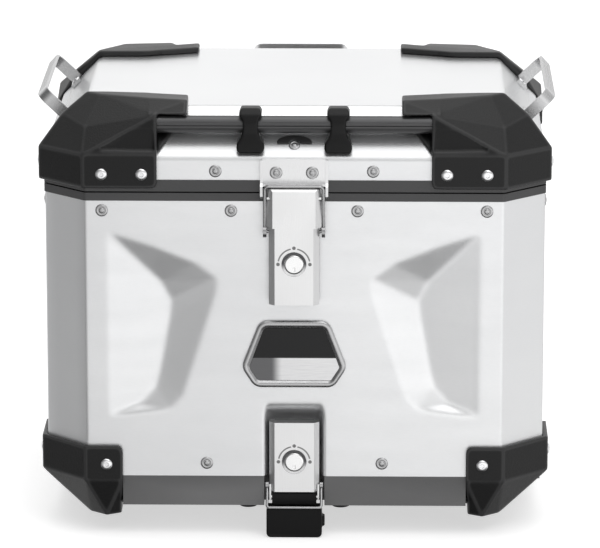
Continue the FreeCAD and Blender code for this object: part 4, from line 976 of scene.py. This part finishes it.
RIM_SEATS = around(-8.5, front=(-164.3, -54.0, 54.0, 164.3), back=(-164.3, -30.0, 30.0, 164.3),
                   sides=(48.0, 175.0, 302.0))
PAN_SEATS = around(-231.8, front=(-75.5, 75.5), back=(-75.5, 75.5), sides=(120.0, 230.0))
LID_SEATS = around(26.0, front=(-67.2, 67.2), back=(-30.0, 30.0), sides=(120.0, 230.0))
LEAN_RIVET_Y = 10.2                           # the single rivet on the lid's leaning front
LEAN_SEAT = ((0.0, LEAN_RIVET_Y, LID_BEND + RISE / END_RUN * LEAN_RIVET_Y), FRONT_NORMAL)
LID_GUARD_SEATS = guard_seats(23.8, columns=(130.1, 164.3), sides=(56.0, 294.0), side_extra=0.4)
BOTTOM_GUARD_SEATS = guard_seats(-232.2, columns=(162.0,), sides=(53.0, 297.0))
UPPER_LATCH_SEATS = front_seats(-2.1, [(-8.0, -24.0), (8.0, -24.0), (0.0, -78.0)])
LOWER_LATCH_SEATS = front_seats(12.0, [(-9.0, -205.0), (9.0, -205.0), (0.0, -236.0)])
KEEPER_SEATS = front_seats(-3.0, [(-15.4, 25.4), (15.4, 25.4)])

SMALL = dict(radius=4.6, height=1.6, tail=3.0)
LATCH = dict(radius=4.0, height=1.2, tail=3.0)

fasteners("rivets_shell", "rivet_steel", "body", "body_rivets",
          [(RIM_SEATS + PAN_SEATS, rivet(grip=3.5))])
fasteners("rivets_lid", "rivet_steel", "lid", "lid_rivets",
          [(LID_SEATS, rivet(grip=3.5)),
           ([LEAN_SEAT], rivet(grip=1.6, radius=4.8, height=1.7, tail=3.0))])
fasteners("screws_lid_guards", "screw_steel", "lid", "lid_guard_screws",
          [(LID_GUARD_SEATS, screw(GUARD_GRIP))], hex_rings=SCREW_HEX_RINGS)
fasteners("screws_bottom_guards", "screw_steel", "body", "bottom_guard_screws",
          [(BOTTOM_GUARD_SEATS, screw(GUARD_GRIP))], hex_rings=SCREW_HEX_RINGS)
fasteners("rivets_hinge_body", "rivet_steel", "body", "hinge_rivets_body",
          [(hinge_seats(-24.0), rivet(grip=4.5, **SMALL))])
fasteners("rivets_hinge_lid", "rivet_steel", "lid", "hinge_rivets_lid",
          [(hinge_seats(27.0), rivet(grip=6.4, **SMALL))])
fasteners("rivets_latch", "rivet_steel", "body", "latch_rivets",
          [(UPPER_LATCH_SEATS, rivet(grip=3.7, **LATCH)),
           (LOWER_LATCH_SEATS, rivet(grip=3.6, **LATCH))])
fasteners("rivets_keeper", "rivet_steel", "lid", "keeper_rivets",
          [(KEEPER_SEATS, rivet(grip=6.5, radius=5.5))])
fasteners("rivets_loops", "screw_steel", "lid", "loop_rivets",
          [(loop_seats(), rivet(grip=4.7, **SMALL))], lift=3.1)


# ================================================================ badge frame
# Ring section, (share of the way from the outer to the inner outline, y).
BADGE_SECTION = [(0, -0.1), (0, -2.0), (0.06, -2.9), (0.16, -3.5), (0.32, -3.9), (0.50, -4.0),
                 (0.66, -3.75), (0.80, -3.1), (0.92, -2.3), (1.0, -2.0), (1.0, -0.1)]
# Left half of each outline, (x, z) from the top down.
BADGE_OUTER = [(-29.5, -104.5), (-45.5, -145.5), (-34.0, -163.5)]
BADGE_INNER = [(-26.0, -111.0), (-39.0, -146.0), (-31.6, -157.5)]


def rounded_outline(half, radius, segments=7):
    """Mirror half an outline and round its corners."""
    corners = [Vector(point) for point in half + [(-x, z) for x, z in reversed(half)]]
    points = []
    for i, corner in enumerate(corners):
        before = (corners[i - 1] - corner).normalized()
        after = (corners[(i + 1) % len(corners)] - corner).normalized()
        half_angle = math.acos(max(-1.0, min(1.0, before.dot(after)))) / 2
        cut = radius / math.tan(half_angle)
        centre = corner + (before + after).normalized() * (radius / math.sin(half_angle))
        start, end = corner + before * cut - centre, corner + after * cut - centre
        points += [centre + ray * radius for ray in turn(start, end, segments)]
    return points


def badge_ring():
    bm = bmesh.new()
    outer = rounded_outline(BADGE_OUTER, radius=10.5)
    inner = rounded_outline(BADGE_INNER, radius=4.5)
    rings = []
    for share, y in BADGE_SECTION:
        rings.append([bm.verts.new(place(a.x * (1 - share) + b.x * share, y,
                                         a.y * (1 - share) + b.y * share))
                      for a, b in zip(outer, inner)])
    for first, second in zip(rings, rings[1:] + rings[:1]):
        bridge(bm, first, second)
    build("badge_ring", bm, "badge_chrome", "body", "badge_frame",
          smooth=50.0, weighted=False)


badge_ring()


# ================================================================ lid straps
STRAP_FRONT, STRAP_BACK = 262.0, 282.0
STRAP_HALF_THICK, STRAP_COLUMNS = 0.65, 9
# Centre line, (distance from the case's middle, z): body end, hanging fold, up to the lid end.
STRAP_PATH = [(208.6, -10.5), (208.4, -14.0), (208.2, -18.5), (207.6, -22.0), (205.6, -26.5),
              (202.6, -29.4), (199.8, -29.6), (198.0, -27.0), (197.6, -23.0), (198.4, -19.0),
              (199.0, -14.0), (198.4, -9.0), (196.4, -5.0), (195.6, 0.0), (196.4, 5.0),
              (198.6, 10.0), (199.4, 14.0), (198.6, 18.0), (198.4, 22.0), (199.6, 26.0),
              (201.6, 29.5)]


def spline(path, steps=4):
    """Catmull-Rom curve through the path."""
    points = [Vector(point) for point in path]
    last = len(points) - 1
    fine = []
    for i in range(last):
        p0, p1, p2, p3 = points[max(i - 1, 0)], points[i], points[i + 1], points[min(i + 2, last)]
        for step in range(steps):
            t = step / steps
            fine.append(0.5 * ((2 * p1) + (p2 - p0) * t + (2 * p0 - 5 * p1 + 4 * p2 - p3) * t * t
                               + (3 * p1 - p0 - 3 * p2 + p3) * t ** 3))
    return fine + [points[-1]]


def strap(name, sign, node):
    """Folded webbing band with thinned edges and low ribs along it."""
    bm = bmesh.new()
    line = spline(STRAP_PATH)
    rings = []
    for i, point in enumerate(line):
        along = (line[min(i + 1, len(line) - 1)] - line[max(i - 1, 0)]).normalized()
        normal = Vector((-along.y, along.x))
        ring = []
        columns = range(STRAP_COLUMNS)
        for face, order in ((1, columns), (-1, reversed(columns))):
            for column in order:
                share = column / (STRAP_COLUMNS - 1)
                edge = min(share, 1 - share)
                rib = 0.10 * math.sin(share * math.pi * 6) if edge > 0.1 else 0.0
                offset = STRAP_HALF_THICK * (0.55 + 0.45 * min(1.0, edge * 8.0)) + rib
                spot = point + normal * (offset * face)
                y = STRAP_FRONT + (STRAP_BACK - STRAP_FRONT) * share
                ring.append(bm.verts.new(place(sign * spot.x, y, spot.y)))
        rings.append(ring)
    for first, second in zip(rings, rings[1:]):
        bridge(bm, first, second)
    bm.faces.new(rings[0])
    bm.faces.new(list(reversed(rings[-1])))
    part = build(name, bm, "webbing", None, node, smooth=50.0, weighted=False)
    middle_y = (STRAP_FRONT + STRAP_BACK) / 2
    tuple(place(0, middle_y, -22))
    tuple(place(0, middle_y, 22))
    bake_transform(part)


strap("strap_left", -1, "lid_strap_left")
strap("strap_right", 1, "lid_strap_right")


# ================================================================ floor, light, camera (metres)
def floor():
    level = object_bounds()[0].z - 0.0002
    bm = bmesh.new()
    bmesh.ops.create_grid(bm, x_segments=8, y_segments=8, size=16.0)
    ground = link_mesh("floor", bm)
    ground.location = (0, 0, level)
    look = Look("floor_pale")
    patches = look.ramp(look.noise(scale=1.2, detail=3.0))
    look.finish(Base_Color=look.mix(patches, start=(0.70, 0.70, 0.70), end=(0.73, 0.73, 0.73)),
                Roughness=0.9, Specular_IOR_Level=0.0,
                Emission_Color=(1.0, 1.0, 1.0), Emission_Strength=0.56)
    ground.data.materials.append(LOOKS["floor_pale"])
    ground.visible_glossy = False
    ground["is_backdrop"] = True


# World brightness, (component of the direction, level).
TENT_X = [(-1.0, 0.19), (-0.75, 0.26), (-0.55, 0.40), (-0.40, 0.66), (-0.1, 0.86),
          (0.2, 0.96), (0.5, 1.0), (0.8, 1.0), (1.0, 1.0)]
TENT_FRONT_Z = [(-1.0, 0.04), (-0.70, 0.22), (-0.42, 0.74), (-0.2, 1.0), (0.1, 0.95),
                (0.4, 0.66), (0.65, 0.60), (0.86, 0.72), (0.96, 1.0), (1.0, 1.0)]
TENT_BACK_Z = [(-1.0, 0.04), (-0.82, 0.55), (-0.65, 1.0), (-0.42, 0.90), (-0.12, 0.52),
               (0.02, 0.62), (0.12, 0.84), (0.20, 1.0), (0.36, 0.98), (0.5, 0.60),
               (0.7, 0.60), (0.9, 0.9), (1.0, 1.0)]
TENT_OVERHEAD = [(0.6, 0.0), (0.86, 0.12), (0.96, 0.5), (1.0, 0.62)]
TENT_BACK_SHARE = [(-1.0, 0.0), (-0.1, 0.0), (0.45, 1.0), (1.0, 1.0)]     # along y
TENT_BACK_GAIN = 1.16


def light_tent():
    """World that differs in front of the case and behind it."""
    world = bpy.data.worlds.new("studio")
    scene.world = world
    world.use_nodes = True
    tent = Graph(world.node_tree, coordinates="Generated")
    output = tent.node("ShaderNodeOutputWorld")
    background = tent.node("ShaderNodeBackground", {"Color": (1.0, 1.0, 1.0)})
    tent.put(output.inputs[0], background.outputs[0])
    overhead = tent.curve(tent.z, TENT_OVERHEAD)
    front = tent.mul(tent.curve(tent.x, TENT_X), tent.curve(tent.z, TENT_FRONT_Z))
    front = tent.add(front, overhead)
    back = tent.add(tent.mul(tent.curve(tent.z, TENT_BACK_Z), TENT_BACK_GAIN), overhead)
    share = tent.curve(tent.y, TENT_BACK_SHARE)
    strength = tent.add(tent.mul(back, share), tent.mul(front, tent.sub(1.0, share)))
    tent.put(background.inputs["Strength"], strength)


# Reflector brightness, (place on the card, level).
CARD_X = [(-1.9, 0.28), (-0.95, 0.36), (-0.66, 0.44), (-0.42, 0.64), (-0.20, 0.74),
          (0.0, 0.85), (0.2, 0.97), (0.45, 1.0), (1.0, 1.0), (1.9, 1.0)]
CARD_Z = [(-1.3, 0.02), (-0.90, 0.20), (-0.60, 0.66), (-0.32, 0.93), (0.0, 1.0),
          (0.3, 0.98), (0.6, 0.9)]
CARD_GAIN = 1.34
CARD_HALF_WIDTH, CARD_HALF_HEIGHT, CARD_Y, CARD_MIDDLE_Z = 1.9, 0.95, -1.3, -0.35


def reflector():
    """Upright glowing card in front of the case, seen only in reflections."""
    bm = bmesh.new()
    bmesh.ops.create_grid(bm, x_segments=6, y_segments=6, size=1.0)
    for vert in bm.verts:
        vert.co = Vector((vert.co.x * CARD_HALF_WIDTH, CARD_Y,
                          CARD_MIDDLE_Z + vert.co.y * CARD_HALF_HEIGHT))
    card = link_mesh("reflector", bm)
    material = bpy.data.materials.new("reflector")
    material.use_nodes = True
    glow = Graph(material.node_tree)
    output = glow.node("ShaderNodeOutputMaterial")
    emission = glow.node("ShaderNodeEmission")
    glow.put(output.inputs[0], emission.outputs[0])
    level = glow.mul(glow.curve(glow.x, CARD_X), glow.curve(glow.z, CARD_Z))
    glow.put(emission.inputs["Strength"], glow.mul(level, CARD_GAIN))
    card.data.materials.append(material)
    for ray in ("camera", "diffuse", "shadow", "transmission", "volume_scatter"):
        setattr(card, "visible_" + ray, False)
    card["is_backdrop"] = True


def area_light(name, location, target, size, energy):
    light = bpy.data.lights.new(name, "AREA")
    light.shape = "RECTANGLE"
    light.size, light.size_y = size
    light.energy = energy
    lamp = bpy.data.objects.new(name, light)
    scene.collection.objects.link(lamp)
    lamp.location = location
    aim = Vector(target) - Vector(location)
    lamp.rotation_euler = aim.to_track_quat("-Z", "Y").to_euler()


def camera():
    """Long lens from the front, looking slightly down."""
    lens = bpy.data.cameras.new("camera")
    lens.sensor_width = 36.0
    lens.lens = 278.15
    lens.clip_end = 100.0
    viewer = bpy.data.objects.new("camera", lens)
    scene.collection.objects.link(viewer)
    viewer.location = (0.0700, -4.0295, scene_z(860.6))
    aim = Vector((-0.016416, 0.9723, -0.23317))
    viewer.rotation_euler = aim.to_track_quat("-Z", "Y").to_euler()
    scene.camera = viewer


floor()
light_tent()
reflector()
area_light("key", location=(0.8, -1.4, 2.4), target=(0, 0, 0.15), size=(2.0, 1.6), energy=9.0)
area_light("top", location=(0.0, 0.4, 2.6), target=(0, 0, 0.2), size=(2.0, 2.0), energy=9.0)
camera()
scene.view_settings.view_transform = "Standard"
scene.view_settings.look = "None"
